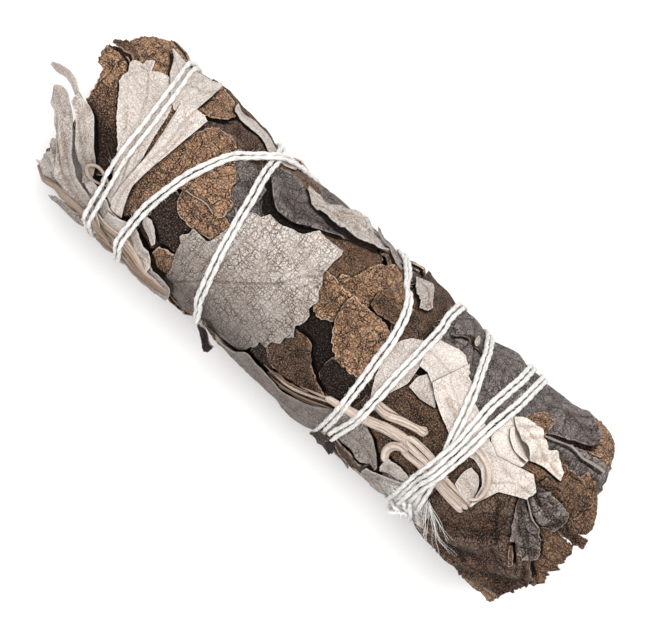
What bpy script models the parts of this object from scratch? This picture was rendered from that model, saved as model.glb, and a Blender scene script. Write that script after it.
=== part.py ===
"""Smudge stick: dried sage leaves and sprigs bound with cotton string.

The bundle lies on its side along X.  Inner sprigs are laid first, then
every outer leaf is draped over what is already there, and the doubled
string is wound on last.  Lengths in the tables are millimetres; the
objects are made in metres, +Z up, standing on z = 0.
"""
import math

import bmesh
import bpy
import numpy as np
from mathutils import Vector

MM = 0.001

# ---- driving dimensions (mm) -------------------------------------------
BODY_R = 15.0          # outside radius of the leafy bundle
BODY_Y = 0.9           # sideways place of the bundle's axis in the layout
FLANK_MM = 9.5         # layout mm to one radian of girth, past the sides
CORE_R = 10.0          # radius that the inner sprigs fill
UNDER_R = {"dark": 11.3, "mid": 11.3, "brown": 11.6, "sage": 12.5}  # least radius below a leaf
CORE_X = (-45.0, 50.0)  # the sprigs' ends
LEAF_T = 0.45          # leaf thickness
LAY_GAP = 0.34         # air between one leaf and the next
CORD_W = 1.8           # width of the doubled string
CORD_H = 0.9           # its height
CORD_GAP = 0.30
REST_T = 0.5           # thickness of the flat leaves that it lies on

# ---- layout of the leaves ----------------------------------------------
# name, colour, one edge, other edge, in mm from stem end to tip.
# A point is (along, across), seen from above; past the bundle's sides the
# second number keeps running down the flank.
TOP_LEAVES = [
    ("tip_leaf_1", "dark", [(30, -11.5), (36, -11.2), (42, -11.4), (50, -11.3)],
     [(30, -14.5), (36, -16), (43, -18), (49.8, -16.5)]),
    ("tip_leaf_2", "dark", [(31, 12), (35, 13.5), (42, 13.5), (49.5, 12.5)],
     [(33, 7), (38, 8), (44, 7.5), (51, 7.5)]),
    ("tip_leaf_3", "mid", [(36, 8), (42, 9), (48, 9.2), (54, 6.5)],
     [(36, 3), (42, 3), (48, 2.8), (53.5, 2.5)]),
    ("tip_leaf_4", "dark", [(38, 4.5), (43, 4.2), (48, 3.9), (54.8, 2.2)],
     [(37, 0), (42, -1), (48, -2.5), (54, -0.5)]),
    ("tip_leaf_5", "dark", [(36, 1.5), (41, 1.3), (46, -0.8), (54, -1.5)],
     [(36, -5), (41, -5.5), (47, -6.5), (53.3, -6.8)]),
    ("tip_leaf_6", "dark", [(31, -1), (38, 1), (43, -1.5), (47, -6), (51.5, -7)],
     [(31, -10), (37, -11), (43, -12), (47, -12.2), (50.3, -11)]),
    ("tip_leaf_7", "dark", [(33, 18), (38, 21), (44, 21), (49, 17)],
     [(33, 10), (38, 10.2), (42, 11.3), (49.4, 12.4)]),
    ("flank_leaf_1", "dark", [(13, 17), (18, 22), (26, 23), (34.5, 19)],
     [(14.5, 9), (19, 9.5), (26, 5.5), (34, 7.5)]),
    ("flank_leaf_2", "mid", [(8, 17.5), (11, 20), (15, 20), (18, 17)],
     [(8.5, 8), (11, 6), (14, 7.5), (17, 9.5)]),
    ("flank_leaf_3", "mid", [(-37, 16), (-31, 19), (-24, 19), (-17, 16)],
     [(-36.5, 9.3), (-31, 8.5), (-25, 8), (-19, 9.5)]),
    ("flank_leaf_4", "dark", [(-21, 16), (-15, 18), (-8, 18), (-2, 15)],
     [(-20.5, 3.5), (-16, 3.5), (-9, 4), (-3, 4.5)]),
    ("flank_leaf_5", "dark", [(-10, 15.5), (-4, 16.5), (2, 16), (5, 13)],
     [(-9.5, 7.5), (-5, 4.5), (-1, 5), (2.5, 8)]),
    ("lens_leaf", "dark", [(-20.2, 12.6), (-17, 12.9), (-13, 12.4), (-8, 11.8)],
     [(-20.2, 11), (-17.3, 7.6), (-13, 5.8), (-8, 8.5)]),
    ("lower_leaf_1", "mid", [(-33, -1), (-29, -2), (-24, -2.5), (-20, -5)],
     [(-33, -11), (-29, -14.5), (-24, -15), (-20, -14)]),
    ("lower_leaf_2", "mid", [(-4, -1), (0, 0.5), (5, -1), (12, -2)],
     [(-4, -11), (0, -13), (5, -14), (12, -12)]),
    ("lower_leaf_3", "mid", [(12, -1), (17, 2), (23, 2.5), (33, 0.5)],
     [(12, -9), (18, -12.5), (25, -14), (33, -12)]),
    ("net_leaf", "mid", [(-2, -4.8), (2, -3.6), (5, -5.8), (8.5, -7.2)],
     [(-2, -8.5), (0, -10.4), (4, -11.2), (8, -9.8)]),
    ("brown_leaf_1", "brown",
     [(-32.5, -9.5), (-34.6, -6), (-34.9, -1), (-34, 5), (-32.8, 9), (-30.5, 10.4)],
     [(-30.5, -9), (-28.5, -4), (-25.5, 0.2), (-21.2, 0.6), (-21.3, 3.6), (-25, 8.8)]),
    ("brown_leaf_2", "brown", [(-0.5, 13.2), (3, 14.1), (7, 13.4), (11.5, 12)],
     [(-1.5, 8), (2.5, 9.4), (7.5, 9), (11, 7.5)]),
    ("brown_leaf_3", "brown", [(-3.8, 6.5), (0, 8.5), (3, 11.5), (4.6, 10)],
     [(-3, 1.5), (0.5, -0.5), (3.4, 1.5), (4.8, 5)]),
    ("brown_leaf_4", "brown", [(2.2, 5), (5, 5.8), (8, 5.9), (12.5, 5.6)],
     [(2.8, 0.6), (4.6, -1.8), (7, -3.2), (12.5, -3.3)]),
    ("brown_leaf_5", "brown",
     [(-42, -6.5), (-45.5, -2.5), (-49, 0.5), (-50, 5), (-52.2, 6.5), (-51.8, 8.8), (-49.5, 9.6)],
     [(-38.5, -6), (-40, -2.5), (-43.5, 2), (-45, 4), (-46, 6), (-46, 8), (-46.5, 9.5)]),
    ("brown_leaf_6", "brown",
     [(-50.2, 9.8), (-49, 12.8), (-46, 14.6), (-42, 15.6), (-36, 16.5), (-29, 16.5)],
     [(-46.5, 8), (-44, 9), (-41, 8), (-37, 6), (-35, 9.5), (-30, 12.3)]),
    ("big_pale_leaf", "sage",
     [(-21.2, -13.4), (-22.3, -9), (-24, -6.2), (-23.3, -3.6), (-20, -2.8), (-19.2, 3.5),
      (-16.6, 5.4), (-12, 6.5), (-9.6, 8), (-8.6, 9.9), (-3.7, 9.8)],
     [(-20, -14), (-14, -14.4), (-8.5, -14), (-5.5, -13.2), (-4.2, -10.5), (-2.4, -8.8),
      (-1.2, -6.6), (-0.6, -4.9), (-1, -1.5), (-1.8, 1.8), (-3.7, 4.2)]),
    ("end_pale_leaf", "sage",
     [(-38.6, -8), (-40.2, -3), (-43.5, 0.8), (-46.2, 4), (-47.7, 7.5), (-46.2, 10.4)],
     [(-36.8, -8), (-38, -3), (-38.6, 3), (-39, 8), (-40.5, 11.5), (-43, 11.4)]),
    ("end_grey_leaf", "sage", [(-44.6, 15.1), (-42, 17), (-38.5, 18.5), (-35.5, 16)],
     [(-43.2, 13), (-41, 10.8), (-38.3, 8.8), (-36.2, 9.6)]),
    ("trumpet_leaf", "sage",
     [(-34.2, -9.6), (-35.8, -7), (-36.2, -2), (-36.9, 4), (-37.7, 9.1)],
     [(-32.6, -9.6), (-33.9, -7.5), (-34.9, -3), (-34.1, 4), (-33.2, 10)]),
    ("flank_pale_leaf", "sage", [(-14.2, 14), (-10, 16), (-4, 17.5), (1.2, 16.5)],
     [(-13.6, 12.9), (-9, 11.7), (-4, 12.8), (1.0, 14.2)]),
    ("curled_leaf_1", "sage", [(-57.2, 0.3), (-55.2, 1.3), (-52.8, 1.2), (-50.4, 0.1)],
     [(-57.2, -0.3), (-55, -0.6), (-53, 0.1), (-50.4, -0.8)]),
    ("curled_leaf_2", "sage", [(-50.4, -0.4), (-46.5, -0.9), (-43.8, -2.9), (-41, -7)],
     [(-50.2, -2), (-47.5, -4), (-44.5, -5.6), (-42, -8)]),
    ("fan_leaf", "sage", [(-48.6, -6.5), (-45, -6.5), (-41, -9), (-36.8, -10.3)],
     [(-47.4, -11.4), (-44, -12.5), (-40, -13), (-36.8, -13.4)]),
    ("curled_leaf_3", "sage",
     [(-54.1, -1.8), (-52.6, -1), (-50.5, -1.8), (-46.5, -5.6), (-42.4, -9.2)],
     [(-53.2, -2.4), (-52.3, -4.1), (-49, -5.3), (-47, -8), (-43.4, -10.6)]),
    ("low_pale_leaf_1", "sage",
     [(-43.4, -14.6), (-38, -14.6), (-31, -14.2), (-25, -13.6), (-22.4, -13.6)],
     [(-43, -16.5), (-38, -18.5), (-31, -19), (-24, -18), (-22, -15.5)]),
    ("low_pale_leaf_2", "sage", [(-35.6, -11.2), (-32, -11.2), (-27, -9.9), (-24.4, -11)],
     [(-35.4, -13.2), (-31, -13.4), (-27, -13), (-24.4, -12.4)]),
    ("low_pale_leaf_3", "sage",
     [(-11, -13.6), (-4, -12.3), (2, -12.8), (8, -11.2), (14, -8.4), (20, -8.6), (22.6, -11)],
     [(-10, -16), (-4, -18), (2, -19), (8, -18.5), (14, -17.5), (19, -16), (22.5, -12.6)]),
    ("low_pale_leaf_4", "sage", [(21.5, -12.2), (24, -11.6), (28, -11.4), (33.5, -12)],
     [(21.8, -14), (24, -16.5), (28, -17.5), (33.5, -15)]),
    ("fold_leaf_1", "sage",
     [(14.6, -4.3), (12.9, -1), (12.2, 3), (12, 5.6), (14.5, 8.3), (17.2, 10.3)],
     [(15.6, -4.2), (17, -1.4), (17.4, 1.5), (17, 5), (17.2, 7), (19, 9.9)]),
    ("fold_leaf_2", "sage",
     [(16.2, 10.2), (19, 10.5), (22.6, 10.4), (24.5, 8.7), (28, 6.2), (30.6, 5.2)],
     [(16.6, 4.6), (19.8, 4.4), (22.6, 2.8), (25, 1.2), (28, -0.1), (30.6, -0.4)]),
    ("fold_leaf_3", "sage", [(31.4, 4.2), (34, 2.8), (36, 2.8), (41.3, 4.1), (43.1, 2.6)],
     [(31.4, -0.6), (34, -2), (37.4, -4.8), (39, -1.2), (42.9, 1.1)]),
    ("crumple_leaf", "sage", [(32.7, 4.2), (32.5, 8), (33.1, 10.2), (37, 10.2), (44.6, 8.3)],
     [(34.6, 2.8), (36.2, 4), (38, 5), (41, 6), (44.9, 6.4)]),
]
# Leaves of the far side: (along, girth), the girth measured round the
# bundle from its top, 47 mm being straight below.
UNDER_LEAVES = [
    ("under_leaf_1", "dark", [(-48, 28), (-44, 19), (-36, 17), (-26, 18), (-20, 27)],
     [(-48, 34), (-44, 42), (-36, 45), (-26, 44), (-20, 35)]),
    ("under_leaf_2", "brown", [(-26, 33), (-22, 24), (-14, 21), (-4, 22), (1, 32)],
     [(-26, 41), (-22, 48), (-14, 51), (-4, 49), (1, 41)]),
    ("under_leaf_3", "dark", [(-6, 25), (-2, 19), (8, 17), (18, 18), (23, 26)],
     [(-6, 32), (-2, 40), (8, 44), (18, 42), (23, 34)]),
    ("under_leaf_4", "dark", [(16, 31), (21, 23), (30, 20), (42, 21), (51, 31)],
     [(16, 40), (21, 47), (30, 50), (42, 48), (51, 40)]),
    ("under_leaf_5", "dark", [(-49, 51), (-44, 46), (-35, 43), (-25, 46), (-20, 51)],
     [(-49, 59), (-44, 67), (-35, 71), (-25, 69), (-20, 59)]),
    ("under_leaf_6", "mid", [(-25, 54), (-19, 49), (-10, 47), (0, 50), (4, 55)],
     [(-25, 62), (-19, 71), (-10, 74), (0, 72), (4, 62)]),
    ("under_leaf_7", "brown", [(0, 52), (5, 46), (14, 43), (24, 46), (29, 52)],
     [(0, 60), (5, 69), (14, 72), (24, 70), (29, 60)]),
    ("under_leaf_8", "dark", [(22, 53), (28, 48), (37, 46), (46, 49), (52, 54)],
     [(22, 62), (28, 71), (37, 74), (46, 71), (52, 61)]),
]
# Flat leaves pressed between the bundle and the table: x range, y range.
REST_LEAVES = [
    ("rest_leaf_1", "sage", [(-49.6, -2.5), (-47, -4.6), (-43, -4.8), (-39.6, -2)],
     [(-49.6, 2), (-47, 4.6), (-43, 4.8), (-39.6, 2)]),
    ("rest_leaf_2", "dark", [(-24.2, -2.2), (-21, -5.2), (-14.5, -5), (-10.6, -2.2)],
     [(-24.2, 2.2), (-21, 5.2), (-14.5, 5), (-10.6, 2.4)]),
    ("rest_leaf_3", "brown", [(36.4, -2.6), (39, -5), (44.5, -5), (48.8, -2)],
     [(36.4, 2.5), (39, 5), (44.5, 5.2), (48.8, 2)]),
]
# Stalks near the outside: the leaf they are laid after, centre line
# (along, across) and radius.
STALKS = [
    ("twig", "low_pale_leaf_1", [(-47.4, -13.4), (-45, -13.5), (-42.5, -13.6), (-40, -13.8), (-37.8, -14)], 0.5),
    ("stalk_1", "brown_leaf_6", [(15.2, -4.4), (17.5, -4.2), (20, -3.9), (22.5, -3.2), (24.4, -2.5)], 0.75),
    ("stalk_2", "brown_leaf_6", [(10, -8.4), (13, -7.7), (16, -7.0), (20, -5.7), (24, -4.9), (29, -5.3),
                          (34, -6.2), (37.6, -6.4)], 0.9),
]

# The doubled string, as wound: each front stretch runs up from the near
# side to the far side (along, across); each hidden stretch runs on round
# the underside (along, degrees from the top, 180 straight below).
WIND = [
    ("front", [(30.4, -13.0), (30.2, -9.5), (29.8, -6), (29.2, -3), (28.3, 0), (27.2, 4),
               (25.9, 8), (24.8, 11), (23.6, 14)]),
    ("under", [(21.5, 100), (19.5, 130), (17.0, 180), (14.5, 225), (12.9, 265)]),
    ("front", [(12.5, -13.4), (12.6, -10), (12.3, -6), (11.9, -2), (11.5, 2), (11, 6),
               (10, 9.5), (8.6, 12.4), (6.2, 14.6)]),
    ("under", [(2.4, 100), (-0.5, 125), (-6.0, 180), (-10.5, 225), (-13.0, 265)]),
    ("front", [(-13.6, -13.6), (-15, -12), (-16, -9), (-17.3, -5), (-18.3, -1), (-19, 2),
               (-19.8, 6), (-20.5, 9), (-21, 12), (-21.2, 14.4)]),
    ("under", [(-22.6, 100), (-25.5, 140), (-28.5, 180), (-32.0, 225), (-34.4, 265)]),
    ("front", [(-35.6, -13.8), (-36.6, -12), (-37.9, -8), (-38.8, -4), (-39.2, 0), (-39.5, 4),
               (-39.9, 8), (-40.3, 12), (-40.7, 14.6)]),
    ("under", [(-40.3, 100), (-39.0, 140), (-36.5, 180), (-33.0, 215), (-29.0, 260)]),
    ("front", [(-28.9, -14.2), (-30.3, -12), (-30.8, -9), (-30.8, -6), (-30.3, -2), (-29.5, 2),
               (-28.5, 5), (-27, 8.5), (-25, 11.2), (-23, 13.2), (-20.6, 14.7)]),
    ("under", [(-14.0, 95), (-3.0, 116), (6.0, 145), (10.5, 180), (13.2, 225), (14.6, 262)]),
    ("front", [(14.6, -13.4), (15.0, -11), (15.4, -9), (15.6, -5), (15.5, 0), (15.6, 6),
               (15.6, 12), (15.3, 14.4)]),
    ("under", [(16.5, 100), (20.5, 130), (24.5, 165), (26.5, 200), (27.6, 255)]),
    ("front", [(28, -13.6), (28.1, -11.5), (28.4, -9), (28.9, -6), (29.3, -3), (29.6, 0),
               (29.5, 4), (29.4, 8), (29.7, 12), (30, 14.6)]),
    ("under", [(30.6, 100), (31.0, 140), (31.4, 180), (32.0, 225), (32.5, 262)]),
    ("front", [(32.6, -13.2), (32.4, -9.5), (32.2, -6), (31.9, -3), (31.8, 0), (31.9, 4),
               (32.1, 8), (32.4, 12), (32.5, 14.4)]),
    ("under", [(33.2, 100), (33.9, 140), (34.3, 180), (34.7, 225), (34.9, 250)]),
]

# ---- colours --------------------------------------------------------------
MATERIALS = {
    "sage": ((0.60, 0.56, 0.51), 0.95),
    "brown": ((0.26, 0.16, 0.10), 0.90),
    "mid": ((0.15, 0.10, 0.075), 0.90),
    "dark": ((0.075, 0.062, 0.058), 0.88),
    "stalk": ((0.52, 0.42, 0.34), 0.85),
    "string": ((0.80, 0.77, 0.72), 0.98),
}

# ---- clear the scene --------------------------------------------------------
for old in list(bpy.data.objects):
    bpy.data.objects.remove(old, do_unlink=True)

bundle = bpy.data.collections.new("smudge_stick")
bpy.context.scene.collection.children.link(bundle)


def make_material(name):
    colour, rough = MATERIALS[name]
    mat = bpy.data.materials.new(name)
    mat.use_nodes = True
    bsdf = mat.node_tree.nodes["Principled BSDF"]
    bsdf.inputs["Base Color"].default_value = (*colour, 1.0)
    bsdf.inputs["Roughness"].default_value = rough
    bsdf.inputs["Metallic"].default_value = 0.0
    mat.diffuse_color = (*colour, 1.0)
    return mat


def add_object(name, mesh, colour):
    obj = bpy.data.objects.new(name, mesh)
    base = make_material(colour)
    base.name = name + "_" + colour
    obj.data.materials.append(base)
    bundle.objects.link(obj)
    return obj


# ---- how high the bundle already is, round and along it ---------------------
STEP_X = 0.4
X_LOW = -60.0
N_X = 301
N_A = 360
height = np.zeros((N_X, N_A))


def end_shape(x):
    """Fraction of the radius that leaves keep past the sprigs' ends."""
    over = np.maximum(np.maximum(-46.0 - x, x - 46.5), 0.0)
    return np.sqrt(np.clip(1.0 - (over / 15.0) ** 2, 0.25, 1.0))


x_line = X_LOW + STEP_X * np.arange(N_X)
support = end_shape(x_line)[:, None] * np.ones((1, N_A))


def grown(field, nx, na):
    """The field with every bump widened by nx and na cells."""
    out = field.copy()
    for k in range(-na, na + 1):
        out = np.maximum(out, np.roll(field, k, axis=1))
    wide = out.copy()
    for k in range(1, nx + 1):
        wide[k:] = np.maximum(wide[k:], out[:-k])
        wide[:-k] = np.maximum(wide[:-k], out[k:])
    return wide


def look_up(field, x, ang):
    i = np.clip(np.rint((x - X_LOW) / STEP_X).astype(int), 0, N_X - 1)
    j = np.rint(np.degrees(ang)).astype(int) % N_A
    return field[i, j]


def stamp(obj):
    """Raise the height field to the outside of a finished solid."""
    bpy.context.view_layer.update()
    graph = bpy.context.evaluated_depsgraph_get()
    solid = obj.evaluated_get(graph)
    mesh = solid.to_mesh()
    mesh.calc_loop_triangles()
    co = np.array([v.co[:] for v in mesh.vertices]) / MM
    tri = np.array([t.vertices[:] for t in mesh.loop_triangles])
    solid.to_mesh_clear()
    a, b, c = co[tri[:, 0]], co[tri[:, 1]], co[tri[:, 2]]
    size = max(np.linalg.norm(b - a, axis=1).max(), np.linalg.norm(c - a, axis=1).max(),
               np.linalg.norm(c - b, axis=1).max())
    n = int(size / 0.3) + 2
    for i in range(n + 1):
        for j in range(n + 1 - i):
            u, v = i / n, j / n
            p = a * (1 - u - v) + b * u + c * v
            r = np.hypot(p[:, 1], p[:, 2])
            ii = np.clip(np.rint((p[:, 0] - X_LOW) / STEP_X).astype(int), 0, N_X - 1)
            jj = np.rint(np.degrees(np.arctan2(p[:, 1], p[:, 2]))).astype(int) % N_A
            np.maximum.at(height, (ii, jj), r)


def point(x, ang, r):
    """Bundle coordinates (axis at the origin) to x, y, z in mm."""
    return np.stack([x, r * np.sin(ang), r * np.cos(ang)], axis=-1)


def plan_angle(y, r):
    """Angle round the bundle of a place seen from above at y."""
    q = (y - BODY_Y) / r
    over = np.maximum(np.abs(y - BODY_Y) - 0.88 * r, 0.0)
    return np.sign(q) * (np.arcsin(np.clip(np.abs(q), 0.0, 0.88)) + over / FLANK_MM)


def resample(points, n):
    """n + 1 even steps along a smooth line through the points."""
    p = np.array(points, dtype=float)
    p = np.vstack([2 * p[0] - p[1], p, 2 * p[-1] - p[-2]])
    fine = []
    for k in range(1, len(p) - 2):
        t = np.linspace(0, 1, 12, endpoint=False)[:, None]
        a, b, c, d = p[k - 1], p[k], p[k + 1], p[k + 2]
        fine.append(0.5 * (2 * b + (c - a) * t + (2 * a - 5 * b + 4 * c - d) * t ** 2
                           + (3 * b - a - 3 * c + d) * t ** 3))
    fine.append(p[-2][None])
    fine = np.vstack(fine)
    run = np.concatenate([[0], np.cumsum(np.linalg.norm(np.diff(fine, axis=0), axis=1))])
    at = np.linspace(0, run[-1], n + 1)
    return np.stack([np.interp(at, run, fine[:, k]) for k in range(p.shape[1])], axis=1)


def drape(plan, kind, clear, least):
    """Radius of every grid point so that its cells clear what is below."""
    nu, nv = plan.shape[0] - 1, plan.shape[1] - 1
    below = np.maximum(grown(height, 1, 2), least * support) + clear
    x = plan[..., 0]
    r = np.full(x.shape, CORE_R * 1.2)

    def angle(rr):
        if kind == "girth":
            return plan[..., 1] / BODY_R
        return plan_angle(plan[..., 1], rr)

    for _ in range(6):
        r = look_up(below, x, angle(r))
    s = np.linspace(0, 1, 9)
    for _ in range(40):
        ang = angle(r)
        p = point(x, ang, r)
        worst = 0.0
        lift = np.zeros_like(r)
        for u in s:
            for v in s:
                w = ((1 - u) * (1 - v), u * (1 - v), (1 - u) * v, u * v)
                q = (p[:-1, :-1] * w[0] + p[1:, :-1] * w[1] + p[:-1, 1:] * w[2] + p[1:, 1:] * w[3])
                rq = np.hypot(q[..., 1], q[..., 2])
                need = look_up(below, q[..., 0], np.arctan2(q[..., 1], q[..., 2])) - rq
                need = np.maximum(need, 0.0)
                worst = max(worst, need.max())
                k = need / sum(t * t for t in w)
                for (di, dj), t in zip(((0, 0), (1, 0), (0, 1), (1, 1)), w):
                    view = lift[di:di + nu, dj:dj + nv]
                    np.maximum(view, k * t, out=view)
        if worst < 0.015:
            break
        r = r + 0.7 * lift
    return point(x, angle(r), r)


def leaf_mesh(name, grid):
    """A grid primitive shaped to the draped leaf, facing outwards."""
    nu, nv = grid.shape[0] - 1, grid.shape[1] - 1
    bm = bmesh.new()
    bmesh.ops.create_grid(bm, x_segments=nu, y_segments=nv, size=0.5)
    for v in bm.verts:
        i = int(round((v.co.x + 0.5) * nu))
        j = int(round((v.co.y + 0.5) * nv))
        v.co = Vector(grid[i, j] * MM)
    bmesh.ops.recalc_face_normals(bm, faces=bm.faces)
    bm.normal_update()
    out = sum(f.normal.dot(Vector((0, f.calc_center_median().y, f.calc_center_median().z)))
              * f.calc_area() for f in bm.faces)
    if out < 0:
        bmesh.ops.reverse_faces(bm, faces=bm.faces)
    mesh = bpy.data.meshes.new(name)
    bm.to_mesh(mesh)
    bm.free()
    return mesh


def solidify(obj, thickness):
    mod = obj.modifiers.new("thickness", 'SOLIDIFY')
    mod.thickness = thickness * MM
    mod.offset = 1.0
    mod.use_even_offset = False


def add_leaf(name, colour, edge_a, edge_b, kind="plan", cell=4.6):
    length = 0.5 * (np.linalg.norm(np.diff(np.array(edge_a, float), axis=0), axis=1).sum()
                    + np.linalg.norm(np.diff(np.array(edge_b, float), axis=0), axis=1).sum())
    width = np.linalg.norm(np.array(resample(edge_a, 4)) - np.array(resample(edge_b, 4)), axis=1).max()
    nu = int(np.clip(round(length / cell), 3, 9))
    nv = int(np.clip(math.ceil(width / (0.72 * cell)), 2, 7))
    a, b = resample(edge_a, nu), resample(edge_b, nu)
    t = np.linspace(0, 1, nv + 1)[None, :, None]
    plan = a[:, None, :] * (1 - t) + b[:, None, :] * t
    least = CORE_R if kind == "girth" else UNDER_R[colour]
    if name.startswith("tip_leaf"):
        least = CORE_R + 0.5
    obj = add_object(name, leaf_mesh(name, drape(plan, kind, LAY_GAP, least)), colour)
    solidify(obj, LEAF_T)
    stamp(obj)
    return obj


def add_sprig(name, turn, reach):
    """A stem with its leaves pressed round it: one quarter of the inside."""
    bm = bmesh.new()
    bmesh.ops.create_cube(bm, size=1.0)
    rungs = [e for e in bm.edges if abs(e.verts[0].co.x - e.verts[1].co.x) > 0.5]
    bmesh.ops.subdivide_edges(bm, edges=rungs, cuts=5, use_grid_fill=True)
    crease = bm.edges.layers.float.new("crease_edge")
    for e in bm.edges:
        if abs(e.verts[0].co.x - e.verts[1].co.x) > 0.01:
            e[crease] = 0.75
    low, high = reach
    for v in bm.verts:
        t = v.co.x + 0.5
        swell = 1.0 - 0.34 * abs(2 * t - 1) ** 5
        wave = 0.35 * math.sin(9.0 * t + turn)
        y = (CORE_R * 1.02 if v.co.y > 0 else 0.1)
        z = (CORE_R * 1.02 if v.co.z > 0 else 0.1)
        if v.co.y > 0 and v.co.z > 0:
            y = z = CORE_R * 0.73
        y, z = y * swell + (wave if v.co.y <= 0 else 0) * 0.5, z * swell
        y, z = max(y, 0.1), max(z, 0.1)
        v.co = Vector(((low + (high - low) * t) * MM,
                       (y * math.cos(turn) - z * math.sin(turn)) * MM,
                       (y * math.sin(turn) + z * math.cos(turn)) * MM))
    mesh = bpy.data.meshes.new(name)
    bm.to_mesh(mesh)
    bm.free()
    obj = add_object(name, mesh, "mid")
    sub = obj.modifiers.new("soft", 'SUBSURF')
    sub.levels = 1
    sub.render_levels = 1
    stamp(obj)
    return obj


def add_stalk(name, colour, line, radius):
    """A round stem: a curve with a bevel and filled caps."""
    n = max(3, int(round(np.linalg.norm(np.array(line[0]) - np.array(line[-1])) / 3.2)))
    path = resample(line, n)
    below = grown(np.maximum(height, UNDER_R["brown"] * support), 2, 4)
    r = np.full(n + 1, BODY_R)
    for _ in range(6):
        r = look_up(below, path[:, 0], plan_angle(path[:, 1], r)) + radius + LAY_GAP + 0.1
    for _ in range(3):
        r = np.maximum(r, np.convolve(np.pad(r, 1, mode="edge"), (0.5, 0, 0.5), "valid"))
    centre = point(path[:, 0], plan_angle(path[:, 1], r), r)
    curve = bpy.data.curves.new(name, 'CURVE')
    curve.dimensions = '3D'
    curve.bevel_depth = radius * MM
    curve.bevel_resolution = 1
    curve.use_fill_caps = True
    spline = curve.splines.new('POLY')
    spline.points.add(n)
    for k, p in enumerate(centre):
        spline.points[k].co = (*(p * MM), 1.0)
    obj = bpy.data.objects.new(name, curve)
    mat = make_material(colour)
    mat.name = name + "_" + colour
    curve.materials.append(mat)
    bundle.objects.link(obj)
    stamp(obj)
    return obj


# ---- the inside -------------------------------------------------------------
for k, (low, high) in enumerate([(-45.0, 49.5), (-43.5, 50.0), (-44.5, 48.0), (-42.5, 49.0)]):
    add_sprig("inner_sprig_%d" % (k + 1), math.radians(20 + 90 * k), (low, high))

# ---- the leaves, in the order they are laid ----------------------------------
for name, colour, edge_a, edge_b in UNDER_LEAVES:
    add_leaf(name, colour, edge_a, edge_b, kind="girth", cell=5.6)
for name, colour, edge_a, edge_b in TOP_LEAVES:
    add_leaf(name, colour, edge_a, edge_b)
    for stalk, after, line, radius in STALKS:
        if after == name:
            add_stalk(stalk, "stalk", line, radius)

# ---- the string ----------------------------------------------------------------
turns = []
base = 0.0
for kind, points in WIND:
    if kind == "front":
        for x, y in points:
            turns.append((x, base + math.degrees(float(plan_angle(np.array(y), BODY_R + 0.8)))))
    else:
        for x, deg in points:
            turns.append((x, base + deg))
        base += 360.0
girth = np.array([(x, math.radians(d) * BODY_R) for x, d in turns])
run = np.linalg.norm(np.diff(girth, axis=0), axis=1).sum()
n_cord = int(run / 4.9)
way = resample(girth, n_cord)
cord_x, cord_a = way[:, 0], way[:, 1] / BODY_R
tangent = np.gradient(way, axis=0)
tangent /= np.linalg.norm(tangent, axis=1)[:, None]


def cord_section(k, r, reach=1.0):
    """Six points of the string's oval section at step k, r under it."""
    side = np.array([-tangent[k, 1], tangent[k, 0]])
    ring = []
    for w, h in ((-0.5, 0.5), (-0.3, 0.0), (0.3, 0.0), (0.5, 0.5), (0.3, 1.0), (-0.3, 1.0)):
        off = side * w * CORD_W * reach
        rr = r + h * CORD_H
        ring.append(point(cord_x[k] + off[0], cord_a[k] + off[1] / rr, rr))
    return np.array(ring)


cord_r = np.zeros(n_cord + 1)
laid = []
for k in range(n_cord + 1):
    field = grown(np.maximum(height, CORE_R * support), 1, 1)
    best = 0.0
    for along in np.linspace(-2.45, 2.45, 9):
        for across in (-1.15, -0.6, 0.0, 0.6, 1.15):
            side = np.array([-tangent[k, 1], tangent[k, 0]])
            xx = cord_x[k] + tangent[k, 0] * along + side[0] * across
            aa = cord_a[k] + (tangent[k, 1] * along + side[1] * across) / BODY_R
            best = max(best, float(look_up(field, np.array(xx), np.array(aa))))
    cord_r[k] = best + CORD_GAP + 0.16
    laid.append(k)
    if k >= 3:
        j = k - 3
        for f in np.linspace(0, 1, 16):
            for across in np.linspace(-1.0, 1.0, 7):
                rr = cord_r[j] * (1 - f) + cord_r[j + 1] * f + CORD_H
                side = np.array([-tangent[j, 1], tangent[j, 0]])
                xx = cord_x[j] * (1 - f) + cord_x[j + 1] * f + side[0] * across
                aa = cord_a[j] * (1 - f) + cord_a[j + 1] * f + side[1] * across / BODY_R
                ii = int(np.clip(round((xx - X_LOW) / STEP_X), 0, N_X - 1))
                jj = int(round(math.degrees(aa))) % N_A
                height[ii, jj] = max(height[ii, jj], rr)

for _ in range(8):
    cord_r[1:-1] = np.maximum(cord_r[1:-1], 0.5 * (cord_r[:-2] + cord_r[2:]) - 0.12)

bm = bmesh.new()
rings = []
for k in range(n_cord + 1):
    rings.append([bm.verts.new(Vector(q * MM)) for q in cord_section(k, cord_r[k])])
for a, b in zip(rings[:-1], rings[1:]):
    for i in range(6):
        bm.faces.new((a[i], a[(i + 1) % 6], b[(i + 1) % 6], b[i]))
bm.faces.new(rings[0])
bm.faces.new(list(reversed(rings[-1])))
bmesh.ops.recalc_face_normals(bm, faces=bm.faces)
mesh = bpy.data.meshes.new("binding_string")
bm.to_mesh(mesh)
bm.free()
string = add_object("binding_string", mesh, "string")
cord_mm = float(np.linalg.norm(np.diff(point(cord_x, cord_a, cord_r + CORD_H / 2), axis=0), axis=1).sum())
print("doubled string, mm:", round(cord_mm, 1))

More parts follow.
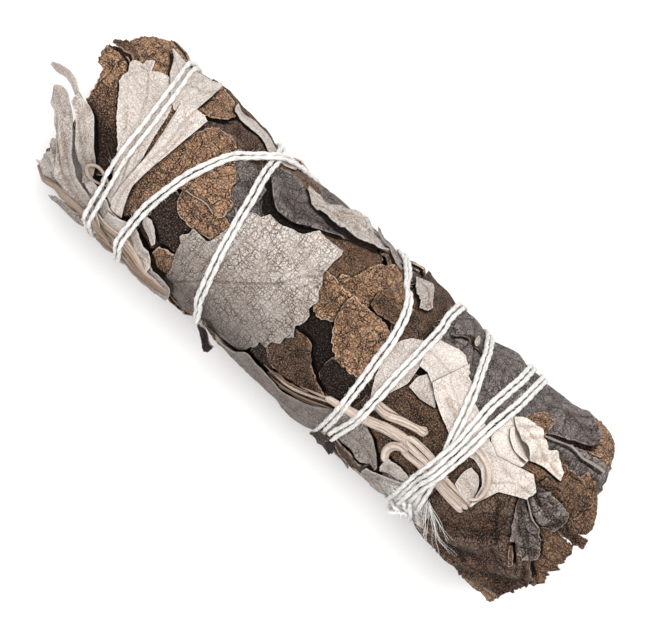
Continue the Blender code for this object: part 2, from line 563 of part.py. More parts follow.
# ---- the flat leaves below, and the table height --------------------------------
deg = np.radians(np.arange(N_A))
down = -np.cos(deg)[None, :]
across = np.abs(height * np.sin(deg)[None, :])
drop = np.where((down > 0.5) & (height > 0), height * down, 0.0)
cord_low = max(float(-cord_section(k, cord_r[k])[:, 2].min()) for k in range(n_cord + 1))
leaf_low = 0.0
for name, colour, edge_a, edge_b in REST_LEAVES:
    x0, x1 = edge_a[0][0] - 0.5, edge_a[-1][0] + 0.5
    rows = (x_line >= x0) & (x_line <= x1)
    near = drop[rows] * (across[rows] < 5.8)
    leaf_low = max(leaf_low, float(near.max()))
AXIS_Z = max(leaf_low + LAY_GAP + REST_T, cord_low + 0.2)
print("axis height %.2f, string low %.2f, leaves low %.2f" % (AXIS_Z, cord_low, leaf_low))

for name, colour, edge_a, edge_b in REST_LEAVES:
    nu = 6
    a, b = resample(edge_a, nu), resample(edge_b, nu)
    across = np.array([0.0, 0.25, 0.5, 0.75, 1.0])
    t = across[None, :, None]
    plan = a[:, None, :] * (1 - t) + b[:, None, :] * t
    curl = np.where(np.abs(across - 0.5) > 0.3, 0.85, 0.0)[None, :]
    ends = np.array([0.6, 0, 0, 0, 0, 0, 0.6])[:, None]
    grid = np.dstack([plan[..., 0], plan[..., 1], REST_T - AXIS_Z + np.maximum(curl, ends)])
    obj = add_object(name, leaf_mesh(name, grid), colour)
    solidify(obj, REST_T)

# ---- stand it on z = 0, centred over the origin ---------------------------------
bpy.context.view_layer.update()
graph = bpy.context.evaluated_depsgraph_get()
low = np.full(3, 1e9)
high = np.full(3, -1e9)
for obj in bundle.objects:
    solid = obj.evaluated_get(graph)
    mesh = solid.to_mesh()
    co = np.array([v.co[:] for v in mesh.vertices])
    solid.to_mesh_clear()
    low = np.minimum(low, co.min(axis=0))
    high = np.maximum(high, co.max(axis=0))
shift = Vector((-(low[0] + high[0]) / 2, -(low[1] + high[1]) / 2, AXIS_Z * MM))
for obj in bundle.objects:
    obj.location = shift
print("shift mm", [round(v / MM, 3) for v in shift], "size mm", np.round((high - low) / MM, 2))
bpy.context.view_layer.update()
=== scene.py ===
"""Looks of the smudge stick: draped leaves, sprigs, stalks and the wound string."""
import math

import bpy
import numpy as np
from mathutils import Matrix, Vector


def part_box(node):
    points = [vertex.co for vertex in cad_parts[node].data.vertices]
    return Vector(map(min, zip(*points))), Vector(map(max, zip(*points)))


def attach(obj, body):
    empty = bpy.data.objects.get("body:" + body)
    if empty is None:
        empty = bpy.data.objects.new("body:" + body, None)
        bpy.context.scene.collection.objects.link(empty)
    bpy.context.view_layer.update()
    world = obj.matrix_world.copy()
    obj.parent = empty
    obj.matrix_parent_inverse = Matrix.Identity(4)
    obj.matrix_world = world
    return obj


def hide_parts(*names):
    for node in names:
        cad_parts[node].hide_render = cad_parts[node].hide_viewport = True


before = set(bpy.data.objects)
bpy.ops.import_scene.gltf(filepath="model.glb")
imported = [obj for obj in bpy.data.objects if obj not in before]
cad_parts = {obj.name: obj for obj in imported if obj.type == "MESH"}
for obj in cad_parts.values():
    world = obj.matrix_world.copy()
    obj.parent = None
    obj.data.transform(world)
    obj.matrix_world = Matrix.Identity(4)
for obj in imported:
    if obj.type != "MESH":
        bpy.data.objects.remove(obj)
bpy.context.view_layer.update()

MM = 0.001

# The layout below is in mm: x along the bundle, y across it seen from above,
# with the bundle's axis at y = BODY_Y.  SHIFT takes it to the frame.
rest_lo, rest_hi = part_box("rest_leaf_2")
whole_lo, whole_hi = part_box("curled_leaf_1"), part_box("tip_leaf_4")
SHIFT_X = float(whole_lo[0][0]) / MM + 57.47
AXIS_Z = 15.165
BODY_Y = 0.9
SHIFT_Y = float(rest_lo[1] + rest_hi[1]) * 0.5 / MM - 0.0
R0 = 15.0
FLANK_MM = 9.5
EYE_X, EYE_Y = 1.42, -0.16
COARSE = 1.0


# ---------------------------------------------------------------- noise
def _hash(ix, iy, seed):
    h = (ix.astype(np.int64) * 374761393 + iy.astype(np.int64) * 668265263 + seed * 974711) & 0x7fffffff
    h = (h ^ (h >> 13)) * 1274126177 & 0x7fffffff
    h = (h ^ (h >> 16)) & 0x7fffffff
    return h / float(0x7fffffff)


def noise(x, y, seed=0):
    """Smooth noise in -1..1 at unit spacing."""
    x = np.asarray(x, float)
    y = np.asarray(y, float)
    xi, yi = np.floor(x), np.floor(y)
    xf, yf = x - xi, y - yi
    u = xf * xf * xf * (xf * (xf * 6 - 15) + 10)
    v = yf * yf * yf * (yf * (yf * 6 - 15) + 10)
    out = 0
    for dx in (0, 1):
        for dy in (0, 1):
            ang = _hash(xi + dx, yi + dy, seed) * 2 * np.pi
            g = np.cos(ang) * (xf - dx) + np.sin(ang) * (yf - dy)
            out = out + g * (u if dx else 1 - u) * (v if dy else 1 - v)
    return out * 1.5


def fbm(x, y, seed=0, octaves=3):
    out, amp, tot = 0, 1.0, 0
    for k in range(octaves):
        out = out + amp * noise(x * 2 ** k, y * 2 ** k, seed + 17 * k)
        tot += amp
        amp *= 0.5
    return out / tot


def ridged(x, y, seed=0, octaves=3):
    out, amp, tot = 0, 1.0, 0
    for k in range(octaves):
        out = out + amp * (1 - 2 * np.abs(noise(x * 2 ** k, y * 2 ** k, seed + 31 * k)))
        tot += amp
        amp *= 0.5
    return out / tot


def cells(x, y, seed=0):
    """Distance to the border between random cells, and a number per cell."""
    xi, yi = np.floor(x), np.floor(y)
    f1 = np.full(np.shape(x), 9.0)
    f2 = np.full(np.shape(x), 9.0)
    who = np.zeros(np.shape(x))
    for dx in (-1, 0, 1):
        for dy in (-1, 0, 1):
            cx = xi + dx + _hash(xi + dx, yi + dy, seed)
            cy = yi + dy + _hash(xi + dx, yi + dy, seed + 5)
            d = np.hypot(cx - x, cy - y)
            nearer = d < f1
            f2 = np.where(nearer, f1, np.minimum(f2, d))
            who = np.where(nearer, _hash(xi + dx, yi + dy, seed + 9), who)
            f1 = np.where(nearer, d, f1)
    return f2 - f1, who


# ---------------------------------------------------------------- the bundle so far
DX = 0.25
X_LOW = -64.0
NX = 513
NA = 540
DA = 2 * math.pi / NA
xs = X_LOW + DX * np.arange(NX)
angs = DA * np.arange(NA)
GX, GA = np.meshgrid(xs, angs, indexing="ij")
H = np.zeros((NX, NA))


def look(field, x, a):
    fx = np.clip((x - X_LOW) / DX, 0, NX - 1.001)
    fa = (a / DA) % NA
    i, j = fx.astype(int), fa.astype(int)
    u, v = fx - i, fa - j
    j %= NA
    j1 = (j + 1) % NA
    return ((field[i, j] * (1 - u) + field[i + 1, j] * u) * (1 - v)
            + (field[i, j1] * (1 - u) + field[i + 1, j1] * u) * v)


def splat(field, x, a, r, sub=3):
    """Raise the field to a grid surface."""
    w = [(p + 0.5) / sub for p in range(sub)]
    for u in [0.0] + w:
        for v in [0.0] + w:
            f = lambda q: ((q[:-1, :-1] * (1 - u) + q[1:, :-1] * u) * (1 - v)
                           + (q[:-1, 1:] * (1 - u) + q[1:, 1:] * u) * v)
            i = np.clip(np.rint((f(x) - X_LOW) / DX).astype(int), 0, NX - 1)
            j = np.rint(f(a) / DA).astype(int) % NA
            np.maximum.at(field, (i.ravel(), j.ravel()), f(r).ravel())


def spread(field, nx, na):
    out = field.copy()
    for k in range(-na, na + 1):
        if k:
            out = np.maximum(out, np.roll(field, k, axis=1))
    wide = out.copy()
    for k in range(1, nx + 1):
        wide[k:] = np.maximum(wide[k:], out[:-k])
        wide[:-k] = np.maximum(wide[:-k], out[k:])
    return wide


def blur(field, n, wrap=True):
    f = field
    for _ in range(n):
        f = 0.5 * f + 0.25 * (np.roll(f, 1, 1) + np.roll(f, -1, 1))
        g = f.copy()
        g[1:-1] = 0.5 * f[1:-1] + 0.25 * (f[:-2] + f[2:])
        f = g
    return f


def seen(points, r=15.6):
    """Layout points as they look from above the middle -> (along, girth) on a skin r mm from the axis."""
    p = np.array(points, float)
    z = AXIS_Z + r * np.sqrt(np.clip(1 - ((p[:, 1] - BODY_Y) / r) ** 2, 0.12, 1))
    f = 377.8 / (400.3 - z)
    p[:, 0] = EYE_X + (p[:, 0] - EYE_X) / f
    q = (EYE_Y + (p[:, 1] - EYE_Y) / f - BODY_Y) / r
    over = np.maximum(np.abs(q) * r - 0.88 * r, 0)
    p[:, 1] = np.sign(q) * R0 * (np.arcsin(np.clip(np.abs(q), 0, 0.88)) + over / FLANK_MM)
    return p


def place(x, a, r):
    """Bundle coordinates to metres in the frame."""
    return np.stack([(x + SHIFT_X) * MM, (BODY_Y + SHIFT_Y - BODY_Y + r * np.sin(a)) * MM,
                     (AXIS_Z + r * np.cos(a)) * MM], axis=-1)


def smooth_line(points, step=None, n=None):
    p = np.array(points, float)
    p = np.vstack([2 * p[0] - p[1], p, 2 * p[-1] - p[-2]])
    out = []
    for k in range(1, len(p) - 2):
        t = np.linspace(0, 1, 16, endpoint=False)[:, None]
        a, b, c, d = p[k - 1], p[k], p[k + 1], p[k + 2]
        out.append(0.5 * (2 * b + (c - a) * t + (2 * a - 5 * b + 4 * c - d) * t ** 2
                          + (3 * b - a - 3 * c + d) * t ** 3))
    out.append(p[-2][None])
    out = np.vstack(out)
    return even(out, step, n)


def even(line, step=None, n=None):
    run = np.concatenate([[0], np.cumsum(np.linalg.norm(np.diff(line, axis=0), axis=1))])
    if n is None:
        n = max(2, int(round(run[-1] / step)))
    at = np.linspace(0, run[-1], n + 1)
    return np.stack([np.interp(at, run, line[:, k]) for k in range(line.shape[1])], axis=1)


# ---------------------------------------------------------------- the string's way
WIND = [
    ("front", [(31.6, -13.2), (31.4, -12), (30.9, -9.5), (30.2, -6), (29.4, -3), (28.3, 0), (27.2, 4),
               (25.9, 8), (24.8, 11), (23.5, 14.3)]),
    ("under", [(21.5, 100), (19.5, 130), (17.0, 180), (14.5, 225), (12.9, 265)]),
    ("front", [(12.5, -13.8), (12.6, -10), (12.3, -6), (11.9, -2), (11.5, 2), (11, 6),
               (10, 9.5), (8.6, 12.4), (6.8, 14.5)]),
    ("under", [(2.4, 100), (-0.5, 125), (-6.0, 180), (-10.5, 225), (-13.0, 265)]),
    ("front", [(-13.6, -13.8), (-15, -12), (-16, -9), (-17.3, -5), (-18.3, -1), (-19, 2),
               (-19.8, 6), (-20.5, 9), (-21, 12), (-21.1, 14.4)]),
    ("under", [(-22.6, 100), (-25.5, 140), (-28.5, 180), (-32.0, 225), (-34.6, 262)]),
    ("front", [(-35.4, -14.2), (-36.6, -12), (-37.9, -8), (-38.8, -4), (-39.2, 0), (-39.5, 4),
               (-39.9, 8), (-40.3, 12), (-40.6, 14.8)]),
    ("under", [(-40.5, 100), (-39.0, 140), (-36.5, 180), (-33.0, 215), (-29.2, 258)]),
    ("front", [(-28.9, -14.4), (-30.3, -12), (-30.8, -9), (-30.8, -6), (-30.3, -2), (-29.5, 2),
               (-28.5, 5), (-27, 8.5), (-25, 11.2), (-23, 13.2), (-20.6, 14.5)]),
    ("under", [(-14.0, 95), (-3.0, 116), (6.0, 145), (10.5, 180), (13.0, 225), (14.3, 262)]),
    ("front", [(14.3, -13.6), (15.0, -11), (15.4, -9), (15.6, -5), (15.5, 0), (15.6, 6),
               (15.6, 12), (15.2, 15)]),
    ("under", [(16.5, 100), (20.5, 130), (24.5, 165), (26.5, 200), (27.8, 255)]),
    ("front", [(28.0, -13.8), (28.1, -12), (28.4, -9), (28.9, -6), (29.3, -3), (29.6, 0),
               (29.5, 4), (29.4, 8), (29.7, 12), (30, 15)]),
    ("under", [(30.6, 100), (30.9, 140), (30.6, 180), (30.0, 225), (29.3, 262)]),
    ("front", [(29.5, -13.6), (29.6, -12), (29.9, -9), (30.6, -6), (31.1, -3), (31.4, 0), (31.6, 4),
               (32, 8), (32.4, 12), (32.5, 15)]),
    ("under", [(33.2, 100), (34.0, 140), (34.2, 180), (33.6, 225), (32.2, 262)]),
    ("front", [(31.3, -14.0), (30.6, -12.9), (30.1, -12.2)]),
]
marks = []
turn = 0.0
for kind, pts in WIND:
    for x, q in pts:
        at = seen([(x, q)], 16.1)[0] if kind == "front" else (x, math.radians(q) * R0)
        marks.append((at[0], turn * 360 * math.pi / 180 * R0 + at[1]))
    if kind == "under":
        turn += 1
route = smooth_line(marks, step=0.5)
route_x, route_a = route[:, 0], route[:, 1] / R0

near_cord = np.full((NX, NA), 9.0)
for x, a in zip(route_x, route_a):
    i = int(round((x - X_LOW) / DX))
    j = int(round(a / DA))
    ii = np.arange(i - 18, i + 19)
    jj = np.arange(j - 26, j + 27)
    d = np.hypot((xs[np.clip(ii, 0, NX - 1)] - x)[:, None], (jj * DA - a)[None, :] * R0)
    sel = np.ix_(np.clip(ii, 0, NX - 1), jj % NA)
    near_cord[sel] = np.minimum(near_cord[sel], d)
GROOVE = np.exp(-(near_cord / 1.5) ** 2)
PRESS = 1 - np.exp(-(near_cord / 1.9) ** 2)


# ---------------------------------------------------------------- body shape
def end_shape(x):
    over = np.maximum(np.maximum(-47.5 - x, x - 49.0), 0.0)
    return 1 - 0.0022 * over ** 2


LOW_SIDE = np.clip((-np.cos(GA) - 0.45) / 0.45, 0, 1)
LOW_SIDE = LOW_SIDE * LOW_SIDE * (3 - 2 * LOW_SIDE)
LUMPS = 0.35 * fbm(GX / 14.0, np.sin(GA) * 2 + 3, 3, 2) + 0.3 * fbm(GX / 9.0, np.cos(GA) * 2.3, 8, 2)


FAR_SIDE = np.interp(GX, (-44, -36, -31, -26, -20, -15, -11, -7, -3, 2, 14, 22, 26, 31, 38, 60),
                     (0, -0.5, -1.1, -0.6, -0.9, -1.2, -1.7, -1.5, -0.9, -0.1, 0, -0.9, -0.2, 0.5, 0, 0))
FAR_SIDE = FAR_SIDE * np.exp(-((GA - math.radians(84)) / math.radians(34)) ** 2)


def least(r):
    """Lowest radius that a leaf keeps: the bundle's own lumpy shape."""
    side = r - 1.5 * LOW_SIDE + FAR_SIDE
    f = (side + LUMPS * 0.5) * end_shape(GX) - 0.65 * GROOVE
    return f


# ---------------------------------------------------------------- meshes
def new_object(name, co, quads, attrs=None, material=None, smooth=True, sharp=0):
    mesh = bpy.data.meshes.new(name)
    n = len(quads)
    mesh.vertices.add(len(co))
    mesh.vertices.foreach_set("co", np.ascontiguousarray(co, dtype=np.float32).ravel())
    corners = np.ascontiguousarray(quads, dtype=np.int32).ravel()
    corners = corners[corners >= 0]
    sides = np.where(quads[:, 3] < 0, 3, 4)
    mesh.loops.add(len(corners))
    mesh.loops.foreach_set("vertex_index", corners)
    mesh.polygons.add(n)
    mesh.polygons.foreach_set("loop_start", np.concatenate([[0], np.cumsum(sides)[:-1]]).astype(np.int32))
    mesh.update(calc_edges=True)
    mesh.validate()
    for key, value in (attrs or {}).items():
        value = np.ascontiguousarray(value, dtype=np.float32)
        if value.ndim == 2:
            layer = mesh.attributes.new(key, 'FLOAT_VECTOR', 'POINT')
            layer.data.foreach_set("vector", value.ravel())
        else:
            layer = mesh.attributes.new(key, 'FLOAT', 'POINT')
            layer.data.foreach_set("value", value.ravel())
    if smooth:
        mesh.shade_smooth()
        if sharp:
            mesh.set_sharp_from_angle(angle=math.radians(sharp))
    if material is not None:
        mesh.materials.append(material)
    obj = bpy.data.objects.new(name, mesh)
    bpy.context.scene.collection.objects.link(obj)
    return obj


def shell_faces(nu, nv, flip):
    """Closed skin over an outer and an inner grid."""
    n = (nu + 1) * (nv + 1)
    idx = np.arange(n).reshape(nu + 1, nv + 1)
    a, b, c, d = idx[:-1, :-1], idx[1:, :-1], idx[1:, 1:], idx[:-1, 1:]
    top = np.stack([a, b, c, d], -1).reshape(-1, 4)
    low = top[:, ::-1] + n
    rim = []
    ring = np.concatenate([idx[:, 0], idx[-1, 1:], idx[-2::-1, -1], idx[0, -2:0:-1]])
    nxt = np.roll(ring, -1)
    rim = np.stack([nxt, ring, ring + n, nxt + n], -1)
    quads = np.vstack([top, low, rim])
    return quads[:, ::-1] if flip else quads


def leaf_faces(nu, nv, flip):
    """Closed skin over an outer grid and an inner one with every second point."""
    n = (nu + 1) * (nv + 1)
    idx = np.arange(n).reshape(nu + 1, nv + 1)
    top = np.stack([idx[:-1, :-1], idx[1:, :-1], idx[1:, 1:], idx[:-1, 1:]], -1).reshape(-1, 4)
    half = n + np.arange((nu // 2 + 1) * (nv // 2 + 1)).reshape(nu // 2 + 1, nv // 2 + 1)
    low = np.stack([half[:-1, :-1], half[:-1, 1:], half[1:, 1:], half[1:, :-1]], -1).reshape(-1, 4)
    ring = [np.concatenate([q[:, 0], q[-1, 1:], q[-2::-1, -1], q[0, -2:0:-1]]) for q in (idx, half)]
    a0, a1, a2 = ring[0][0::2], ring[0][1::2], np.roll(ring[0], -2)[0::2]
    b0, b1 = ring[1], np.roll(ring[1], -1)
    side = np.stack([a1, a0, b0, b1], -1)
    corner = np.stack([a2, a1, b1], -1)
    if flip:
        top, low, side, corner = (q[:, ::-1] for q in (top, low, side, corner))
    corner = np.concatenate([corner, np.full((len(corner), 1), -1)], axis=1)
    return np.vstack([top, low, side, corner])


def rib_coords(px, py, rib):
    """Distance along and across the midrib for points in the unrolled layout."""
    line = even(np.array(rib, float), step=0.8)
    seg_a, seg_b = line[:-1], line[1:]
    run = np.concatenate([[0], np.cumsum(np.linalg.norm(np.diff(line, axis=0), axis=1))])
    best = np.full(px.shape, 1e9)
    s = np.zeros(px.shape)
    d = np.zeros(px.shape)
    for k in range(len(seg_a)):
        vx, vy = seg_b[k] - seg_a[k]
        L2 = vx * vx + vy * vy
        t = ((px - seg_a[k][0]) * vx + (py - seg_a[k][1]) * vy) / L2
        lo = -9 if k == 0 else 0
        hi = 9 if k == len(seg_a) - 1 else 1
        t = np.clip(t, lo, hi)
        qx, qy = px - seg_a[k][0] - t * vx, py - seg_a[k][1] - t * vy
        dist = np.hypot(qx, qy)
        side = np.sign(vx * qy - vy * qx)
        better = dist < best
        best = np.where(better, dist, best)
        s = np.where(better, run[k] + t * math.sqrt(L2), s)
        d = np.where(better, side * dist, d)
    return s, d


LEAVES = []


def leaf(name, kind, edge_a, edge_b, **opt):
    opt.update(name=name, kind=kind, a=edge_a, b=edge_b)
    LEAVES.append(opt)


# ---------------------------------------------------------------- the leaves, as laid
# Far side first: (along, girth in mm from the top of the bundle).
W = dict(girth=True, sp=0.62, stiff=10)
leaf("under_leaf_1", "dark", [(-48, 28), (-44, 19), (-36, 17), (-26, 18), (-20, 27)],
     [(-48, 34), (-44, 42), (-36, 45), (-26, 44), (-20, 35)], rag=(1.2, 0.4), tone=-0.2, **W)
leaf("under_leaf_2", "brown", [(-26, 33), (-22, 24), (-14, 21), (-4, 22), (1, 32)],
     [(-26, 41), (-22, 48), (-14, 51), (-4, 49), (1, 41)], teeth=(0.4, 0.4, 1.7), **W)
leaf("under_leaf_3", "dark", [(-6, 25), (-2, 19), (8, 17), (18, 18), (23, 26)],
     [(-6, 32), (-2, 40), (8, 44), (18, 42), (23, 34)], teeth=(0.3, 0.4, 1.6), tone=0.2, **W)
leaf("under_leaf_4", "mid", [(16, 31), (21, 23), (30, 20), (42, 21), (51, 31)],
     [(16, 40), (21, 47), (30, 50), (42, 48), (51, 40)], rag=(0.3, 1.4), **W)
leaf("under_leaf_5", "dark", [(-49, 51), (-44, 46), (-35, 43), (-25, 46), (-20, 51)],
     [(-49, 59), (-44, 67), (-35, 71), (-25, 69), (-20, 59)], rag=(1.2, 0.3), **W)
leaf("under_leaf_6", "mid", [(-25, 54), (-19, 49), (-10, 47), (0, 50), (4, 55)],
     [(-25, 62), (-19, 71), (-10, 74), (0, 72), (4, 62)], teeth=(0.3, 0.4, 1.6), **W)
leaf("under_leaf_7", "brown", [(0, 52), (5, 46), (14, 43), (24, 46), (29, 52)],
     [(0, 60), (5, 69), (14, 72), (24, 70), (29, 60)], teeth=(0.4, 0.4, 1.8), **W)
leaf("under_leaf_8", "dark", [(22, 53), (28, 48), (37, 46), (46, 49), (52, 54)],
     [(22, 62), (28, 71), (37, 74), (46, 71), (52, 61)], rag=(0.3, 1.4), tone=-0.1, **W)
# whole leaves over them, each from its stem to its tip
B = dict(girth=True, sp=0.44, stiff=6, min=13.9)


def blade(name, kind, x0, g0, x1, g1, width, bend=0.0, blunt=0.8, **o):
    """A leaf with its midrib from (x0, g0) to (x1, g1), widest before the middle."""
    t = np.linspace(0, 1, 15)
    long_ = math.hypot(x1 - x0, g1 - g0)
    nx, ng = -(g1 - g0) / long_, (x1 - x0) / long_
    side = bend * 4 * t * (1 - t)
    half = 0.5 * width * np.clip(np.sin(math.pi * t ** blunt), 0, 1) ** 0.72 + 0.3
    mx, mg = x0 + (x1 - x0) * t + nx * side, g0 + (g1 - g0) * t + ng * side
    a = [(float(p), float(q)) for p, q in zip(mx + nx * half, mg + ng * half)]
    b = [(float(p), float(q)) for p, q in zip(mx - nx * half, mg - ng * half)]
    folds = [((x0, g0), (float(mx[11]), float(mg[11])), 0.35, 0.7)] + list(o.pop("folds", ()))
    leaf(name, kind, a, b, folds=folds, **{**B, **o})


blade("back_1", "mid", -47, 28, -28, 20, 8, 1.0, lift=(0.3, 0.2, 0.2, 0.2), tone=-0.2)
blade("back_2", "sage", -33, 31, -50, 35, 8.5, -1.0, lift=(0.5, 0.9, 0.2, 0.5), teeth=(0.25, 0.25, 1.3), tone=-0.2)
blade("back_3", "brown", -36, 34, -12, 27, 10.5, 1.4, lift=(0.5, 0.8, 0.2, 0.6), teeth=(0.35, 0.35, 1.5), crum=0.5)
blade("back_4", "grey", -15, 20, 9, 25, 9, -1.0, lift=(0.5, 0.2, 0.2, 0.3), teeth=(0.2, 0.25, 1.4))
blade("back_5", "brown", 24, 31, 2, 25, 9.5, 1.2, lift=(0.9, 0.3, 0.2, 0.6), teeth=(0.35, 0.35, 1.5), crum=0.45)
blade("back_6", "dark", 14, 18, 36, 24, 9, 1.0, lift=(0.5, 0.2, 0.2, 0.3), crum=0.5, tone=0.2)
blade("back_7", "mid", 45.5, 25, 27, 21, 8, 1.0, lift=(0.2, 0.4, 0.3, 0.2), rag=(0.5, 0.2), crum=0.5)
blade("back_8", "brown", 27, 33, 48.5, 32, 9, -1.4, lift=(0.9, 0.4, 0.1, 0.8), rag=(0.2, 0.8), crum=0.5, tone=-0.2)
blade("back_9", "dark", -46, 41, -26, 37, 8, 1.0, crum=0.5)
blade("back_10", "sage", -8, 36, 15, 32, 8.5, 1.2, lift=(0.8, 0.5, 0.2, 0.7), teeth=(0.3, 0.3, 1.3), tone=-0.25)
blade("back_11", "mid", -28, 43, -6, 39, 9, -1.0, lift=(0.4, 0.4, 0.2, 0.3), crum=0.5)
blade("back_12", "sage", 46, 38, 26, 36, 7.5, 1.0, lift=(0.5, 0.6, 0.2, 0.5), teeth=(0.25, 0.25, 1.3), tone=-0.35)
blade("back_13", "brown", -12, 44, 12, 48, 10, 1.2, teeth=(0.35, 0.3, 1.5), crum=0.4)
blade("back_14", "grey", 12, 42, 34, 45, 9, -1.0, crum=0.4)
blade("back_15", "dark", 50, 44, 30, 50, 9, 1.0, crum=0.5, rag=(0.8, 0.2))
blade("back_16", "brown", -47, 49, -26, 52, 9.5, 1.0, crum=0.4, rag=(0.8, 0.2))
blade("back_17", "brown", -50.5, 60, -29, 64, 9.5, 1.2, lift=(0.5, 0.7, 0.6, 0.3), teeth=(0.3, 0.35, 1.5), crum=0.5, rag=(0.7, 0.2))
blade("back_18", "mid", -48.6, 66, -31, 61, 7, 1.0, lift=(0.2, 0.4, 0.5, 0.3), rag=(0.8, 0.2), crum=0.5)
blade("back_19", "dark", -33, 69, -14, 65, 7, 1.0, lift=(0.2, 0.5, 0.3, 0.3), crum=0.6, tone=0.1)
blade("back_20", "sage", -36, 56, -13, 60, 9, -1.2, lift=(0.7, 0.5, 0.3, 0.7), teeth=(0.3, 0.3, 1.3), tone=-0.3)
blade("back_21", "brown", -20, 64, 3, 59, 9, 1.4, lift=(0.3, 0.6, 0.2, 0.6), teeth=(0.35, 0.35, 1.5), crum=0.45)
blade("back_22", "mid", -16, 55, 4, 52, 7.5, 1.0, lift=(0.4, 0.3, 0.2, 0.4), crum=0.5)
blade("back_23", "grey", 22, 58, 0, 64, 8, -1.2, lift=(0.6, 0.3, 0.2, 0.5), teeth=(0.2, 0.25, 1.4), tone=0.1)
blade("back_24", "brown", 13, 54, 36, 58, 9, 1.2, lift=(0.5, 0.3, 0.3, 0.4), teeth=(0.3, 0.3, 1.4), crum=0.45, tone=-0.3)
blade("back_25", "sage", 40, 61, 20, 65, 8, 1.0, lift=(0.6, 0.3, 0.2, 0.5), teeth=(0.25, 0.25, 1.3), tone=-0.4)
blade("back_26", "mid", 52.5, 56, 30, 60, 9.5, -1.0, lift=(0.4, 0.7, 0.5, 0.3), rag=(1.0, 0.2), crum=0.5)
blade("back_27", "dark", 30, 68, 49.8, 64, 7.5, 1.0, lift=(0.2, 0.5, 0.2, 0.5), rag=(0.2, 0.9), crum=0.6)
blade("back_28", "grey", 2, 70, 20, 68, 5, 1.0, lift=(0.2, 0.4, 0.2, 0.5), tone=-0.2)

# The seen side.  (along, across), both as seen from above.
F = dict(sp=0.32, stiff=7)
T = dict(sp=0.28, stiff=5)
# -- right end
leaf("tip_leaf_1", "brown", [(41, -12.2), (43.4, -11.3), (46, -11.6), (49.8, -12)],
     [(40.4, -12.8), (42, -14), (44, -15), (46.8, -15.5), (49.8, -14.7)],
     rag=(0.1, 0.5), teeth=(0.1, 0.2, 1.0), lift=(0.4, 0.4, 0, 0.5), crum=0.5, wrinkle=0.14, jag=0.35, flare=(40, 44, 0.9), tone=-0.25,
     folds=[((42, -12.4), (49, -13.2), 0.4, 0.7)], soft=0.1, **T)
leaf("tip_under", "dark", [(31, -10.8), (36, -11.4), (40, -12), (44, -12)], [(31, -15), (35, -15), (39, -14), (43, -14.6)], crum=0.4,
     tone=-0.4, **F)
leaf("tip_brown", "brown", [(38, 17.0), (41, 17.2), (43.6, 17.2), (45.8, 16.4), (47.2, 15.4), (48.6, 13.8)],
     [(38, 11.6), (42, 10.6), (45.5, 10.4), (49.4, 11.0)], rag=(0.2, 0.4), teeth=(0.25, 0.1, 0.9), crum=0.35, flare=(38, 44, 1.6), min=15.2,
     soft=0.3, tone=-0.25, jag=0.45, **F)
leaf("tip_leaf_2", "grey", [(36, 11), (41, 10.6), (46, 11.0), (49.4, 11.5)],
     [(38, 7), (41, 7.2), (44.6, 8.2), (47, 8.4), (50.6, 8.2)], rag=(0.2, 0.9), teeth=(0, 0.2, 0.8), crum=0.45, wrinkle=0.12, tone=1.4,
     jag=0.35, folds=[((40, 9.4), (50, 10.4), 0.5, 0.9)], soft=0.1, **T)
leaf("tip_round", "mid", [(47, 9.4), (50.2, 9.2), (52, 7.6), (53.4, 5.6), (53.9, 4.4)],
     [(47, 2.8), (50, 2.4), (51.6, 2.2), (53, 2.5), (53.8, 3.4)], rag=(0.1, 0.5), teeth=(0.2, 0.1, 0.8), crum=0.3, wrinkle=0.14,
     tone=0.7, jag=0.35, folds=[((48.4, 7.6), (53, 3.6), 0.4, 0.9)], **T)
leaf("tip_leaf_5", "mid", [(44, 1.6), (48, 0.4), (51.4, 0.2), (53.6, 0.3)],
     [(44, -6), (48, -9), (51, -9.6), (53.4, -8.2)], rag=(0.2, 1.6), teeth=(0.2, 0.3, 0.9), tone=0.35, crum=0.4, wrinkle=0.18, jag=0.4,
     folds=[((47, -1.5), (53.4, -3.6), 0.4, 0.8), ((47, -4), (53, -6.4), -0.4, 0.7)], soft=0.1, **T)
leaf("tip_leaf_3", "mid", [(36, 8.6), (42, 8.4), (47, 8.1), (50.8, 7.6)],
     [(36, 3), (42, 3.5), (47, 3.4), (50.6, 3.4)], rag=(0.2, 0.9), crum=0.35, wrinkle=0.18, tone=0.15, grad=(0.0, 0.4),
     folds=[((40, 7.6), (50, 8), -0.5, 0.8), ((42, 5.6), (51, 5.2), 0.4, 1.0)], **T)
leaf("tip_leaf_4", "dark", [(43, 4.8), (46, 4.4), (49.2, 3.5), (51.2, 2.6), (52.8, 2.2), (54.4, 2.6)],
     [(43, 0), (46, -0.6), (49.4, 0.4), (51.8, 0.7), (54.8, 0.9)], rag=(0.1, 0.4), crum=0.2, wrinkle=0.12, jag=0.3, tone=0.9,
     lift=(0.5, 0.2, 0, 0.7), folds=[((44, 3), (53.8, 1.8), 0.5, 0.7), ((45, 1.4), (51, 1.5), -0.4, 0.5)], **T)
leaf("tip_leaf_6", "dark", [(31, 0.4), (37, 0.9), (41.3, 0.6), (44, -1.2), (47, -2.4), (50, -5.4), (52.4, -7)],
     [(31, -11), (37, -12.4), (42, -12.4), (46, -12), (50.4, -12)], rag=(0.2, 1.0), teeth=(0, 0.35, 0.9), lift=(0.3, 0.1, 0, 0.4),
     crum=0.3, wrinkle=0.16, tone=0.0, jag=0.4,
     folds=[((41.6, -0.6), (48.6, -7.6), 0.8, 1.3), ((39.6, -1.6), (45.4, -8), -0.45, 1.1), ((36, -7.6), (50, -9.6), 0.3, 2.0),
            ((33, -10.4), (49.6, -11.2), -0.4, 0.8), ((47.4, -3), (51.6, -8.6), -0.5, 0.8)], soft=0.15, **T)
